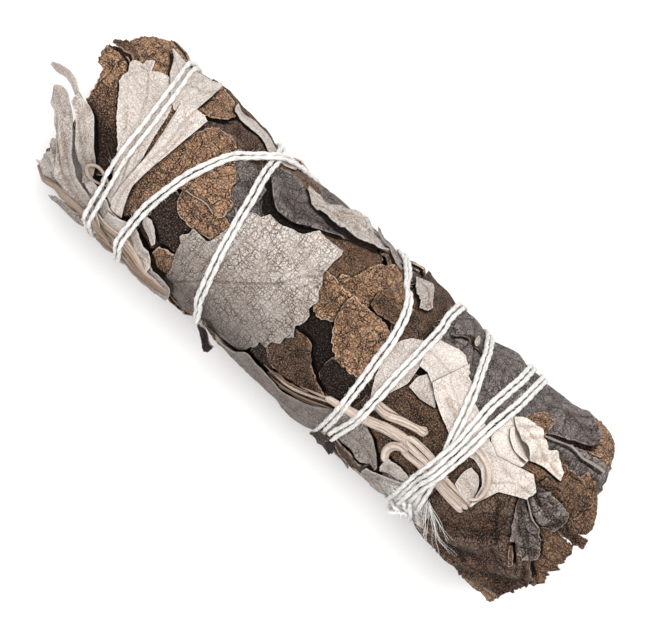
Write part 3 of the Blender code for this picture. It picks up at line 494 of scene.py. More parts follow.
leaf("tip_ridge", "ash", [(42.1, 1.1), (44.6, 0.2), (47.6, -1.2), (49.6, -2.8), (50.4, -4.2)],
     [(42.3, -0.4), (43.8, -2.6), (45.6, -4.2), (47.2, -5.4), (49.0, -5.6)], crum=0.2, lift=(0.3, 0.1, 0, 0.1), rag=(0, 0.6), wrinkle=0.08,
     jag=0.42, folds=[((43, -0.2), (49.6, -3.4), 0.55, 0.4), ((43.2, -1.3), (48.6, -4.8), -0.6, 0.4), ((43.8, -2.4), (47.8, -5.2), 0.45, 0.35),
                      ((44.4, -0.6), (46.8, -4.4), 0.3, 0.5)], tone=0.35, grad=(0.0, -0.7), soft=0.1, **T)
leaf("tip_flake", "mid", [(46.0, -4.9), (47, -5.8), (48.3, -7.2)], [(45.8, -5.3), (46.7, -6.3), (47.9, -7.7)], crum=0.3, tone=0.7,
     jag=0.2, lift=(0.3, 0.2, 0.2, 0.3), sp=0.18, stiff=3, min=15.3, wrinkle=0.15)
leaf("tip_crumple", "ash", [(42.4, 3.2), (44.5, 3.4), (47, 3.3), (49.4, 3.0)],
     [(43.2, 1.0), (45, -0.1), (47.2, -0.4), (49.6, 0.2)], crum=0.2, lift=(0.3, 0.45, 0, 0.1), rag=(0, 0.3), wrinkle=0.09, jag=0.42, tone=0.2,
     folds=[((42.8, 2.9), (49, 1.7), 0.5, 0.35), ((43.2, 2.0), (48.6, 0.5), -0.65, 0.4), ((44.2, 3.3), (46.2, 0.3), 0.5, 0.4),
            ((46.6, 3.1), (48.8, 0.8), -0.45, 0.35)], soft=0.1, **T)
leaf("tip_hem", "sage", [(42.4, 1.6), (43.6, 0.7), (45.6, -0.5), (47.4, -0.9)], [(42.4, 1.4), (43.6, 0.5), (45.5, -0.7), (47.3, -1.1)],
     crum=0.0, lift=(0.1, 0.2, 0, 0), jag=0.06, tone=-0.5, sp=0.18, stiff=3, net=0.0, min=15.3, thick=0.12)
leaf("tip_leaf_7", "grey", [(32.5, 18.5), (37, 18.3), (39.4, 17.4), (41.2, 15.8), (42.4, 14.6), (44.4, 13.6), (45, 12.8)],
     [(32.5, 9.2), (37, 9.6), (40.6, 10.6), (43, 11.2), (44.6, 11.6), (45.2, 12)], crum=0.16, lift=(0.1, 0.5, 0, 0.3), flare=(35, 43, 0.8),
     jag=0.16, wrinkle=0.13, folds=[((34, 15.5), (43, 13.2), 0.25, 1.6)], tone=0.35, **F)
leaf("tip_rim", "sage", [(38.3, 10.2), (40.6, 10.65), (42.6, 11.0), (44.8, 10.85), (46.6, 11.05), (49.0, 11.35)],
     [(38.3, 10.05), (40.6, 10.45), (42.6, 10.8), (44.8, 10.6), (46.6, 10.8), (49.0, 11.15)], crum=0.0, lift=(0.1, 0.3, 0, 0.1), tone=-0.8,
     jag=0.06, flare=(38, 46, 0.3), sp=0.2, stiff=4, net=0.0, min=15.3, thick=0.12)
leaf("tip_patch", "brown", [(34.4, 10.4), (35.3, 11.8), (36.3, 12.3), (37.3, 11.5), (38.1, 11.7)], [(34.6, 9.6), (36, 9), (37, 9.2), (38.4, 9.6)],
     crum=0.5, soft=0.0, bow=0.0, jag=0.45, tone=-0.4, teeth=(0.3, 0.1, 0.8), **F)
# -- far flank
leaf("flank_leaf_3", "dark", [(-37, 17), (-31, 20), (-24, 20), (-16.5, 17)],
     [(-36.5, 8.6), (-31, 7.5), (-25, 7.2), (-18.5, 8.5)], crum=0.6, lift=(0, 0.6, 0, 0), **F)
leaf("flank_leaf_4", "grey", [(-22, 17), (-15, 19), (-8, 19), (-1.5, 16)],
     [(-20.5, 3), (-16, 2.6), (-9, 3), (-3, 4)], crum=0.4, **F)
leaf("flank_strip", "mid", [(-21, 15.6), (-17, 15.8), (-12.8, 14.8)], [(-20.6, 13.2), (-16, 12.7), (-12, 12.7)],
     crum=0.5, lift=(0.1, 0.5, 0, 0), **F)
leaf("flank_leaf_5", "mid", [(-9.5, 14), (-4, 15.2), (-0.6, 14.4), (1.6, 13)],
     [(-9.5, 7), (-5, 3.6), (-2.4, 4.6), (1.4, 8)], crum=0.25, lift=(0, 0.5, 0, 0.2), tone=0.15, **F)
leaf("flank_leaf_2", "dark", [(8, 19), (11, 20.5), (15, 20.5), (18, 19)],
     [(9, 7), (11, 5.4), (14, 6.8), (17.2, 9.2)], crum=0.3, lift=(0, 0.4, 0, 0), **F)
leaf("flank_scrap", "mid", [(0.6, 15.4), (2.6, 15.6), (4.6, 14.9), (6.0, 13.6)], [(0.4, 13.9), (3, 13.1), (4.8, 12.9), (5.9, 12.9)],
     crum=0.4, lift=(0.2, 0.4, 0.2, 0.2), tone=0.3, **F)
leaf("flank_leaf_1", "grey", [(15.8, 19), (19, 21), (26, 22), (32.6, 20)],
     [(14.8, 9), (19, 9), (23.5, 7.5), (28, 4.5), (31.8, 4.5)], crum=0.4, lift=(0, 0.3, 0, 0), wrinkle=0.2,
     folds=[((17.5, 11.8), (21.2, 12.9), -0.5, 0.8)], tone=0.3, **F)
# a thin dark strip along a narrow slit, standing in for the shade inside the slit
leaf("dark_sliver", "dark", [(17.4, 11.7), (19.4, 12.7), (21.6, 13.5), (23.8, 14.0)], [(17.5, 11.4), (19.6, 12.3), (21.8, 13.05), (23.9, 13.7)],
     crum=0.1, lift=(0.15, 0.2, 0, 0), tone=-0.8, soft=0.0, bow=0.0, jag=0.15, sp=0.2, stiff=3)
leaf("nub", "sage", [(20.4, 13.5), (20.9, 13.75), (21.4, 13.5)], [(20.5, 12.95), (20.9, 12.8), (21.4, 12.95)],
     crum=0.3, lift=(0.3, 0.5, 0.2, 0.3), tone=-0.3, soft=0.0, bow=0.0, jag=0.2, net=0.3, wrinkle=0.15, sp=0.16, stiff=3)
# a black strip of painted shadow under the lifted lower edge of lens_leaf
leaf("lens_scrap", "dark", [(-20.2, 10.6), (-18.6, 9.2), (-17, 7.8), (-15.2, 7.2), (-12.6, 7.6), (-10.6, 8.5), (-9, 9.6)],
     [(-20.4, 9.4), (-19, 7.6), (-17.4, 5.6), (-15.2, 5.1), (-12.6, 5.4), (-10.8, 6.3), (-9.4, 7.4)], crum=0.2, tone=-2.0, **F)
leaf("lens_leaf", "grey", [(-20.4, 12.7), (-17, 13), (-13, 12.6), (-8, 12.2), (-4.6, 11.7)],
     [(-20.1, 10.9), (-18.8, 9.4), (-17.2, 7.8), (-15.2, 7.0), (-12.6, 7.3), (-10.6, 8.2), (-8.6, 9.5), (-6.6, 10.2)], crum=0.3,
     lift=(0.1, 1.2, 0.7, 0), tone=-0.15, jag=0.08, **F)
# -- near flank and middle
leaf("lower_leaf_1", "dark", [(-34, 0), (-29, -1.2), (-24, -1.6), (-19.5, -4)],
     [(-34, -11), (-29, -14.5), (-24, -15), (-19.5, -14)], crum=0.9, tone=-1.0, wrinkle=0.25, **F)
leaf("lower_leaf_2", "dark", [(-4, 1), (0, 2), (5, 0.5), (12.5, -1)],
     [(-4, -11), (0, -13), (5, -14), (12.5, -12)], crum=0.8, tone=-0.95, wrinkle=0.28, **F)
leaf("lower_leaf_3", "mid", [(11.5, 1), (17, 3.4), (23, 3.6), (31.4, 1.5)],
     [(11.5, -9), (18, -12.5), (25, -14), (31.4, -12)], crum=0.5, tone=-0.6, wrinkle=0.2, folds=[((17.6, 1.6), (24, 0.9), 0.5, 0.8), ((24, 0.9), (28.6, -1.2), 0.5, 0.8), ((18, 0.0), (28, -2.8), -0.5, 1.0)], **F)
leaf("dark_deep", "dark", [(-1.6, 0.6), (1.6, 0.6), (5, -1.4), (10.8, -1.8)], [(-1.4, -5), (1.6, -4.6), (5, -6.8), (10.8, -7)],
     crum=0.6, tone=-1.7, wrinkle=0.25, **F)
leaf("dark_lump", "dark", [(6.1, -3.2), (8, -2.4), (11, -2.5), (13.8, -3)],
     [(6.2, -5.8), (8, -7.8), (11, -7.9), (13.6, -7.2)], crum=0.3, lift=(0.3, 0.7, 0.6, 0.1), tone=-1.5, **F)
leaf("net_leaf", "mid", [(-2.2, -4.8), (0.2, -3.6), (2.2, -3.8), (3.2, -5), (5, -6.4), (8.9, -7.9)],
     [(-2.4, -8.6), (-0.6, -10.2), (2, -10.4), (5, -11), (8.2, -9.4)], crum=0.6, wrinkle=0.22, lift=(0.5, 0.3, 0.4, 0.4), tone=-0.55, jag=0.35,
     soft=0.0, folds=[((1.8, -4.4), (5.6, -6.9), 0.6, 0.45), ((5.4, -6.8), (6.6, -9.4), 0.5, 0.45), ((0.2, -5), (1.6, -9.8), 0.4, 0.6)], **F)
leaf("grey_patch", "grey", [(-27.5, 9.6), (-23, 10.4), (-19, 8.4)], [(-26.6, -0.6), (-22.6, -1), (-19, -0.6)],
     crum=0.35, tone=0.1, **F)
leaf("brown_patch", "brown", [(-28.6, 1.2), (-24.5, 1.6), (-19, 0.6)], [(-28, -2), (-26.6, -3.2), (-23.2, -3.5), (-19.1, -2.8)],
     crum=0.3, tone=-0.1, lift=(0, 0.35, 0.2, 0), grad=(0.0, 1.2), **F)
leaf("brown_scrap", "brown", [(-25.2, -9), (-23.6, -8.6), (-21.6, -9)], [(-24.6, -13), (-22.8, -13.2), (-20.7, -13)],
     crum=0.5, lift=(0.2, 0.1, 0.3, 0), tone=-0.35, **F)
leaf("brown_leaf_1", "brown",
     [(-32.6, -9.8), (-34.4, -6.5), (-34.9, -2), (-34.4, 3), (-33.2, 7.5), (-31.4, 10.4), (-28.6, 11)],
     [(-31.8, -9), (-31.5, -4.4), (-30.2, -0.6), (-27.4, -0.1), (-24.5, 0.8), (-21.5, 0.1), (-21.2, 3.3), (-23.2, 4.5),
      (-23.5, 6.2), (-25.4, 8.4), (-26.6, 10.4)], teeth=(0.15, 0.45, 1.5), crum=0.3, lift=(0.2, 0.55, 0, 0.2), grad=(1.3, 0.0), tone=-0.1, **F)
leaf("patch_rim", "sage", [(-28.2, 0.0), (-26.6, 0.25), (-25.2, 0.65), (-24.2, 0.7), (-22.6, 0.3)],
     [(-28.2, -0.12), (-26.6, 0.1), (-25.2, 0.48), (-24.2, 0.54), (-22.6, 0.14)], crum=0.0, lift=(0.1, 0.1, 0, 0), sp=0.18, stiff=3, tone=-0.7,
     soft=0.0, bow=0.0, jag=0.14, net=0.0, min=15.3, thick=0.12)
leaf("brown_leaf_2", "brown", [(-1.6, 6.9), (0, 7.6), (0.6, 9), (1.1, 10.8), (2, 12.3), (3.4, 13.3)],
     [(-1, 4.8), (4.9, 5), (4.4, 7.5), (4.7, 9), (6, 10.2), (8, 9.3), (10.6, 9.2), (10.4, 10.8), (8.4, 12), (5.2, 13.4)],
     teeth=(0.2, 0.1, 1.3), crum=0.4, lift=(0.3, 0.2, 0, 0.3), tone=0.1, **F)
leaf("brown_leaf_3", "brown", [(-3.9, 5.5), (-1.8, 5.6), (0.2, 5.2), (2.4, 5.5)],
     [(-2.9, 2.6), (-1.6, 0.4), (0.2, -0.4), (2.6, 1.0)], teeth=(0.1, 0.35, 1.2), crum=0.35,
     lift=(0.5, 0.3, 0, 0.2), tone=-0.1, **F)
leaf("brown_leaf_4", "brown", [(2, 5.2), (5, 5.7), (8, 6.1), (10.3, 5.6), (12.8, 5.2)],
     [(2.2, 1.6), (3.5, -0.5), (5, -2), (7, -3.1), (9, -3.2), (12.8, -2.8)], teeth=(0.2, 0.4, 1.4), crum=0.2,
     lift=(0.3, 0.5, 0.3, 0), tone=0.2, **F)
leaf("dark_round", "mid", [(4.5, 8.1), (5.4, 10.4), (6.9, 9.9), (8.2, 9.1), (10.6, 9.6)],
     [(4.8, 6.3), (6.8, 6.0), (9, 6.9), (10.6, 7.6)], crum=0.3, lift=(0.1, 0.5, 0.4, 0), tone=-0.2, soft=0.0, bow=0.0, jag=0.12, **F)
leaf("tan_strip", "mid", [(0.6, -11), (4, -10.6), (8, -9.4), (12.2, -7.6)], [(1, -12.6), (4, -12.2), (8, -11.2), (12.4, -9.4)],
     crum=0.3, tone=-0.4, **F)
leaf("brown_leaf_5", "brown",
     [(-41, -8.2), (-44.2, -5.6), (-47, -2.6), (-48.9, -0.2), (-49, 1.2), (-49.4, 2.6), (-50.2, 5), (-51.6, 5.2), (-52.3, 6.8), (-52.3, 8.2), (-51.4, 9.2), (-50, 9.9)],
     [(-38.5, -6.5), (-39.6, -3), (-42, 0.6), (-44.4, 3), (-45, 4.6), (-45.6, 6), (-46, 7.4), (-46, 8.4), (-46, 9.2), (-46, 9.8)],
     crum=0.9, teeth=(0.25, 0, 1.0), lift=(0.7, 0, 0, 0.5), tone=-1.1, grad=(0.0, 2.7), jag=0.32, wrinkle=0.24, sp=0.28, stiff=6,
     folds=[((-41, -5), (-48, 1.6), 0.5, 0.8), ((-40, -2), (-46, 4.4), 0.4, 0.7)], soft=0.15)
leaf("brown_leaf_6", "brown",
     [(-50.3, 9.6), (-49.8, 11.6), (-49, 13.2), (-47.2, 14.2), (-45.6, 15.4), (-42, 15.8), (-37, 15.2), (-34, 15.6), (-30.4, 15.2)],
     [(-47, 8.2), (-45.5, 8.6), (-43, 8.6), (-40, 7.4), (-37, 7), (-35, 9.6), (-31, 12.2)],
     crum=0.7, teeth=(0.2, 0.1, 1.1), rag=(0.5, 0.3), lift=(0.4, 0.2, 0.5, 0.1), tone=0.3, jag=0.3, wrinkle=0.2, sp=0.3, stiff=6)
leaf("end_brown", "brown", [(-39.4, 9.8), (-38.8, 6), (-38.3, 3), (-37.6, -1)], [(-36.6, 9.6), (-36.5, 6), (-36.1, 3), (-35.4, -1)],
     crum=0.5, tone=-0.35, shut=0.35, grad=(0.0, 0.8), jag=0.2, **F)
leaf("end_curl", "mid", [(-52, 9.0), (-50.6, 9.8), (-48.4, 9.6), (-46.8, 9.3)], [(-51.9, 8.3), (-50, 8.7), (-48.2, 8.5), (-46.8, 8.2)],
     crum=0.6, lift=(0.3, 0.4, 0.2, 0), tone=-0.3, jag=0.4, wrinkle=0.25, **T)
# -- pale ones
# its grad darkens the lower (-y) side as painted shade
leaf("big_pale_leaf", "sage",
     [(-21.2, -13.2), (-21.6, -10.4), (-22.8, -8), (-23.2, -6.4), (-24.1, -5.9), (-23.1, -4.4), (-23.4, -3.5), (-21.8, -3.7),
      (-20.2, -3.8), (-19.8, -2.4), (-19.4, 0), (-18.9, 3), (-18.3, 4.7), (-16.6, 4.9), (-16.1, 6), (-13.8, 5.9), (-12, 6.6),
      (-10.2, 7.4), (-9.4, 8.6), (-8.6, 9.4), (-6.8, 9.6), (-3.9, 9.7)],
     [(-20, -14), (-15.5, -14.4), (-10.6, -13.8), (-6, -13.3), (-4.8, -12.6), (-4.4, -11.2), (-3.6, -10.3), (-4, -9.5),
      (-2.5, -9.1), (-2.6, -8.1), (-1.2, -7.3), (-1.5, -6.3), (-0.4, -5), (-1.5, -3.7), (-0.9, -2.7), (-0.8, -1.1),
      (-1.8, -0.4), (-1.4, 1.5), (-2.4, 2.4), (-2.7, 3.8), (-3.7, 4.2), (-3.8, 7)],
     teeth=(0.12, 0.12, 1.1), crum=0.1, lift=(0.25, 0.45, 0, 0.3), sp=0.28, stiff=14, min=15.0, tone=-0.4, grad=(0.0, 0.65),
     rib=[(-20.3, -12.3), (-17, -9), (-14, -6.3), (-10, -3), (-7, 0.5), (-4.5, 3.8)],
     folds=[((-20.3, -12.3), (-4.5, 3.8), 0.28, 1.1), ((-6.3, -1.8), (-3.6, 3.6), -0.3, 0.5)], net=1.15)
leaf("end_pale_leaf", "sage",
     [(-36, -10.6), (-38.4, -6), (-40.6, -2), (-43.4, 0.8), (-45.4, 3.2), (-46.4, 4.6), (-47.2, 5.4), (-47.4, 6.6), (-47.1, 7.4),
      (-47.9, 8.2), (-47.0, 8.9), (-46.3, 8.9), (-46.2, 10.2), (-45.6, 10.9)],
     [(-32.8, -10.2), (-34.4, -6.6), (-36.2, -2), (-37.4, 2.4), (-38.2, 7), (-38.9, 8.8), (-39.4, 10), (-41.6, 11.5), (-43.1, 10.9),
      (-44.1, 10.1), (-44.7, 9.9), (-45, 10.8), (-45.3, 11.1)],
     teeth=(0.12, 0.1, 1.0), crum=0.08, lift=(0.4, 0.3, 0, 0.6), sp=0.28, stiff=9,
     folds=[((-34.2, -9), (-41.6, 6.5), 0.35, 0.45), ((-35.2, -8.6), (-39.2, 0.5), -0.35, 0.35), ((-33.8, -9.2), (-37.4, 0.2), 0.35, 0.4),
            ((-38, -3), (-46, 6), -0.2, 0.5)], net=0.6, tone=0.4)
leaf("end_grey_leaf", "sage",
     [(-44.6, 15.1), (-42.6, 15.2), (-40.4, 15.7), (-38.2, 15.8), (-36.2, 16.1), (-35, 16.1)],
     [(-43.3, 13.9), (-42.4, 12.2), (-41.2, 11.2), (-39.3, 9.2), (-38, 8.2), (-36.8, 9.4), (-35.7, 9.2), (-35.4, 11.6), (-35.1, 13.6)],
     teeth=(0.1, 0.1, 1.2), crum=0.12, lift=(0, 0.4, 0.3, 0.8), sp=0.3, stiff=12, tone=0.45, min=15.7, net=0.6, soft=0.1, bow=0.1,
     folds=[((-38.2, 9.2), (-37.2, 15.8), 0.45, 0.7)])
leaf("trumpet_leaf", "sage",
     [(-34.6, -10.4), (-35.7, -8.6), (-36, -5), (-36, -2), (-36.3, 1), (-37, 5), (-37.8, 9.2)],
     [(-32.6, -10.2), (-33.6, -8.2), (-34.6, -5), (-34.4, -1), (-33.9, 3), (-33.4, 7), (-33, 10)],
     crum=0.1, lift=(0.7, 0.5, 0, 0.9), sp=0.33, stiff=8, rag=(0, 0.25),
     folds=[((-34.5, -9), (-35.8, 9), 0.55, 1.3), ((-33.8, -6), (-34.4, 9.4), -0.3, 0.7)], net=0.6, tone=0.55)
leaf("flank_pale_leaf", "sage", [(-14.4, 13.9), (-12, 14.2), (-10.4, 14.8), (-6, 15.2), (-1.6, 15.9), (1.4, 15.6)],
     [(-12.6, 12.2), (-10.2, 11.9), (-7.8, 11.6), (-5.6, 11.5), (-3.2, 12.6), (-1, 13.4), (1.2, 14.7)],
     crum=0.3, lift=(0.2, 0.5, 0.2, 0.3), sp=0.3, stiff=5, rag=(0.4, 0.4), tone=0.1, soft=0.0, jag=0.3, net=0.9,
     folds=[((-12.5, 12.8), (-2, 14.2), 0.5, 0.7), ((-8, 14.4), (0.4, 15.2), -0.5, 0.5), ((-11, 13.6), (-5, 12.4), -0.4, 0.4)])
leaf("top_strip", "sage", [(-31.4, 15.8), (-29.6, 16.2), (-27, 17.0), (-24.4, 16.8), (-20.6, 16.2), (-17.8, 15.6)],
     [(-31, 14.7), (-28, 14.5), (-25.4, 14.8), (-22.6, 14.3), (-18.2, 14.5)],
     crum=0.2, lift=(0.1, 0.4, 0.2, 0.3), tone=0.1, soft=0.0, bow=0.0, jag=0.25, rag=(0.3, 0.5), net=0.5,
     folds=[((-30, 15.2), (-20, 15.2), 0.4, 0.4)], **F)
leaf("top_scrap", "sage", [(7.2, 15.6), (8.4, 15.9), (9.8, 16.3), (11.2, 14.6), (12.3, 13)],
     [(8, 14.4), (9, 13.6), (10.2, 13), (10.8, 12.1), (12.1, 12.5)], crum=0.5, lift=(0.1, 0.5, 0.2, 0.2), soft=0.0, bow=0.0, jag=0.3,
     tone=-0.1, **F)
leaf("top_sliver", "sage", [(-2.4, 15.8), (0.6, 15.9), (3.2, 15.4), (4.8, 14.6)], [(-2, 15.1), (0.4, 15), (2.8, 14.5), (4.4, 13.9)],
     crum=0.4, lift=(0.1, 0.4, 0.2, 0.2), soft=0.0, bow=0.0, jag=0.25, tone=-0.6, **F)
leaf("fan_leaf", "sage", [(-48.9, -4.6), (-46.4, -5.4), (-42, -8), (-37, -10), (-31, -11.2)],
     [(-47.6, -12.4), (-44.6, -13.2), (-40, -13.6), (-36, -13.8), (-31, -14)], rag=(1.5, 0.2), crum=0.2,
     lift=(0.3, 0.3, 0.7, 0), tone=-0.25, min=15.4, folds=[((-48.4, -6.6), (-33, -12), 0.5, 0.6), ((-47.8, -8.4), (-34, -12.6), 0.45, 0.6),
            ((-48, -10), (-36, -13), 0.5, 0.6), ((-47.6, -11.6), (-38, -13.2), -0.4, 0.4)], net=0.6, shut=0.45, bow=0.0, jag=0.25, **F)
leaf("low_pale_leaf_1", "sage", [(-42.6, -14.8), (-38, -14.4), (-31, -13.6), (-25, -12.8), (-19.6, -13)],
     [(-43, -17), (-38, -19), (-31, -19), (-24, -18.4), (-19, -16)], crum=0.4, lift=(0.5, 0, 0.4, 0), tone=-0.45, rag=(0.8, 0.2),
     folds=[((-42, -15.2), (-22, -13.8), 0.35, 0.6)], min=15.8, jag=0.2, **F)
leaf("low_pale_leaf_2", "sage", [(-34.6, -10.3), (-31, -10.2), (-28, -10.5), (-25.6, -11), (-24, -12)],
     [(-34.4, -12.6), (-30, -12.9), (-26.5, -12.9), (-24, -12.5)], crum=0.25, lift=(0.4, 0.3, 0, 0.5), net=0.4, soft=0.1, bow=0.0,
     jag=0.2, tone=-0.1, folds=[((-33, -11), (-25, -11.9), 0.4, 0.5), ((-32, -11.8), (-26, -12.4), -0.4, 0.35)], **F)
leaf("pale_scrap", "sage", [(-30.3, -8), (-28.8, -7.4), (-27.4, -8.1), (-26, -9.3)], [(-29.6, -8.9), (-28.4, -9.2), (-27.2, -9.4), (-26.2, -9.7)],
     crum=0.3, lift=(0.3, 0.2, 0.2, 0.4), tone=-0.15, soft=0.0, bow=0.0, jag=0.2, net=0.4, **F)
leaf("low_pale_leaf_3", "sage",
     [(-11.2, -13.9), (-8, -13.4), (-5.6, -13), (-4.3, -12.2), (0, -12.4), (3, -12.5), (8, -11.2), (12.4, -9.6)],
     [(-10.6, -15), (-4, -17.6), (2, -18.5), (8, -18), (12.8, -16.5)], crum=0.4, lift=(0.6, 0, 0.2, 0), tone=-0.85, **F)
leaf("low_grey_leaf", "sage", [(13.2, -8.4), (16, -8), (19, -8.2), (21.2, -9.4), (22.8, -11)],
     [(13.2, -14), (16, -13), (18, -12.4), (20.4, -12.2), (22.6, -11.6)], crum=0.35, lift=(0.5, 0.2, 0, 0.3), tone=-0.55, **F)
leaf("fragment_1", "dark", [(-12.5, -14.4), (-11.4, -13.9), (-10.2, -14.4), (-9.4, -14.9), (-8.5, -14.8)],
     [(-12.6, -15.1), (-11.4, -15.4), (-10.6, -15.9), (-9.8, -16.5), (-9.2, -16.7)], crum=0.5, wrinkle=0.35, rag=(0.3, 0.4),
     lift=(0.1, 0.9, 0.2, 0.4), sp=0.2, stiff=3, min=16.3, tone=-1.7, jag=0.25)
leaf("fragment_2", "dark", [(11.8, 71.5), (13, 71), (15.0, 71.2), (16.2, 72.5)], [(12.3, 76.6), (13.5, 78), (15.1, 78), (16.1, 76)],
     crum=0.3, rag=(0.3, 0.3), lift=(0.5, 0.2, 0, 0), sp=0.2, stiff=3, min=15.9, tone=-0.7, wrinkle=0.25, girth=True, loose=True, jag=0.25,
     folds=[((14.1, 69), (14.1, 79), 1.4, 1.6)])
leaf("stem_chunk", "sage", [(22.9, -8.7), (24.6, -8.9), (26.4, -9.5), (28, -10.2)], [(23, -10.4), (24.2, -12.1), (26, -12.3), (28, -12)],
     crum=0.5, lift=(0.3, 0.3, 0.2, 0.2), soft=0.1, bow=0.0, jag=0.2, net=0.5, wrinkle=0.12, tone=0.1, **F)
leaf("low_dark_edge", "dark", [(14.6, -12.4), (18, -11.8), (20.6, -11.8), (23.4, -11)], [(15, -15), (19, -16), (23, -14)],
     crum=0.5, lift=(0.4, 0, 0.1, 0), **F)
leaf("low_pale_leaf_4", "sage", [(21.6, -12), (24, -11.4), (28, -11), (33.8, -11.2)],
     [(21.8, -14), (24.5, -17), (28.5, -17.6), (33.6, -15)], crum=0.35, lift=(0.5, 0, 0.4, 0.3), tone=-0.4, **F)
leaf("curled_leaf_1", "sage", [(-57.3, 0.5), (-56.2, 1.1), (-54.4, 1.5), (-52.4, 1.1), (-50.6, -0.1), (-48.6, -0.7)],
     [(-57.1, -0.1), (-55.8, -0.3), (-54, 0.1), (-52.4, -0.1), (-50.8, -0.9), (-48.8, -1.4)], crum=0.12,
     lift=(0.6, 0.1, 0.1, 0), sp=0.28, stiff=4, min=15.6, net=0.2, tone=-0.35)
leaf("curled_leaf_2", "sage", [(-50.5, -0.2), (-48.2, -0.5), (-46.2, -1.1), (-43.6, -3.7), (-41.6, -6.2), (-40.2, -8)],
     [(-50.3, -1.9), (-48.8, -2.6), (-46.8, -4.2), (-44.2, -6.6), (-42.4, -8.2), (-40.6, -9.2)], crum=0.2, lift=(0.3, 1.3, 0.4, 0),
     sp=0.28, stiff=5, min=15.3, tone=-0.2, grad=(0, 0.9), folds=[((-49, -1.8), (-42, -7.4), -0.6, 0.8)], net=0.6)
leaf("curled_leaf_3", "sage", [(-54.3, -1.8), (-53.4, -1.2), (-52, -1.3), (-50, -2.6), (-47.6, -4.4), (-45, -6.4), (-42, -8.7), (-38, -11.2), (-34, -12.5)],
     [(-54.1, -2.3), (-53.6, -3.3), (-52.9, -4.6), (-51.5, -5.0), (-50.4, -5.9), (-48.6, -6.8), (-46, -9.2), (-43, -11.6), (-38.4, -13.0), (-34, -13.4)],
     crum=0.15, lift=(0.9, 0.5, 0.6, 0), sp=0.28, stiff=5, min=15.2, tone=-0.2,
     folds=[((-53, -2.4), (-39, -12.0), 0.5, 0.7), ((-51, -4.8), (-42, -11.2), -0.4, 0.5)], net=0.6)
leaf("fold_scrap", "sage", [(17.9, 1.3), (17.9, 3.4), (18.8, 4.9)], [(20.3, 1), (23.1, 1.5), (21.6, 3.7)],
     crum=0.25, lift=(0.3, 0.3, 0.4, 0), tone=0.0, soft=0.0, bow=0.0, net=0.5, **F)
leaf("fold_leaf_1", "sage",
     [(14.8, -4.5), (13, -1.2), (12.2, 2), (12, 5.5), (13.2, 7.4), (14.8, 8.6), (16.2, 10.1)],
     [(15.2, -4.4), (16.3, -2), (17.4, 1.5), (17.1, 4.2), (16.9, 5.6), (17.6, 8), (18.8, 10.4)],
     crum=0.08, lift=(0.4, 0.6, 0, 0), sp=0.34, stiff=9, folds=[((15, -4), (15.2, 8), 0.3, 1.6)], soft=0.25, net=0.55, tone=0.1)
leaf("fold_band", "sage",
     [(16.2, 10.2), (18.5, 10.5), (21, 10.7), (23.4, 9.6)],
     [(16.9, 4.9), (18.5, 4.9), (20.2, 4), (23, 3.4)],
     crum=0.08, lift=(0.4, 0.7, 0, 0), sp=0.3, stiff=10, soft=0.1, tone=0.6, net=0.55)
leaf("fold_leaf_2", "sage",
     [(22.4, 10.0), (23.4, 8.9), (25, 8.6), (26.6, 6.9), (28.7, 6.1), (31.8, 4.8)],
     [(20.1, 4), (22.4, 2.5), (24, 1.6), (26.2, 0.7), (28.4, -0.3), (31.8, -0.8)],
     crum=0.08, lift=(0.3, 0.9, 0.7, 0), sp=0.3, stiff=10, soft=0.1, tone=0.6, bow=0.0,
     folds=[((22.5, 3.1), (28, 1.4), 0.45, 0.9), ((21.4, 6.4), (30, 3.4), 0.35, 1.4)], net=0.55)
leaf("crumple_base", "sage", [(32.5, 7.2), (32.7, 9.2), (33.8, 9.6), (36.4, 8.2), (39.4, 6)],
     [(32.6, 4.5), (33.4, 3.5), (35.2, 2.3), (37.2, 3), (39.2, 3.9)],
     crum=0.12, lift=(0.1, 0.6, 0.2, 0.4), sp=0.27, stiff=4, soft=0.1, bow=0.0, tone=0.75, net=0.4, jag=0.05,
     folds=[((34.4, 6.4), (36.6, 3), 0.25, 0.8)])
leaf("crumple_curl", "sage", [(34.1, 8.0), (35.2, 6.7), (36.8, 5.8), (39.2, 5.4)], [(33.8, 7.3), (34.9, 6.0), (36.6, 5.1), (39.1, 4.8)],
     crum=0.05, lift=(0.2, 0.6, 0.2, 0.4), sp=0.2, stiff=3, soft=0.5, bow=0.0, tone=0.8, net=0.2, jag=0.03)
leaf("crumple_leaf", "sage",
     [(33.1, 9.3), (33.9, 10), (36.1, 10.1), (38.2, 9.3), (40.2, 7.9), (41.4, 8.6), (42.8, 8.4), (44.5, 7.5)],
     [(33.6, 8.7), (34.8, 7.7), (36.2, 6.9), (38, 6.2), (39.4, 5.4), (40.2, 6.0), (41.4, 6.2), (45, 6.2)],
     crum=0.12, lift=(0.3, 0.35, 0.2, 0.3), sp=0.24, stiff=4, rag=(0, 0.12), soft=0.1, bow=0.0, tone=0.95, net=0.5, jag=0.05,
     folds=[((33.8, 9.2), (38.6, 6.4), 0.4, 0.6), ((36.2, 9.8), (39.6, 6.6), -0.5, 0.4), ((38.4, 9), (40.6, 6.8), -0.5, 0.4),
            ((40.8, 8.8), (42, 6.6), 0.5, 0.6)])
leaf("pocket_leaf", "sage", [(33.6, -1.5), (35.2, -1.7), (36.3, -2.8), (37, -4.4)], [(33.4, -5.0), (34.6, -5.3), (35.8, -5.3), (36.8, -5.2)],
     crum=0.08, tone=0.1, net=0.4, lift=(0.1, 0.1, 0.3, 0), **F)
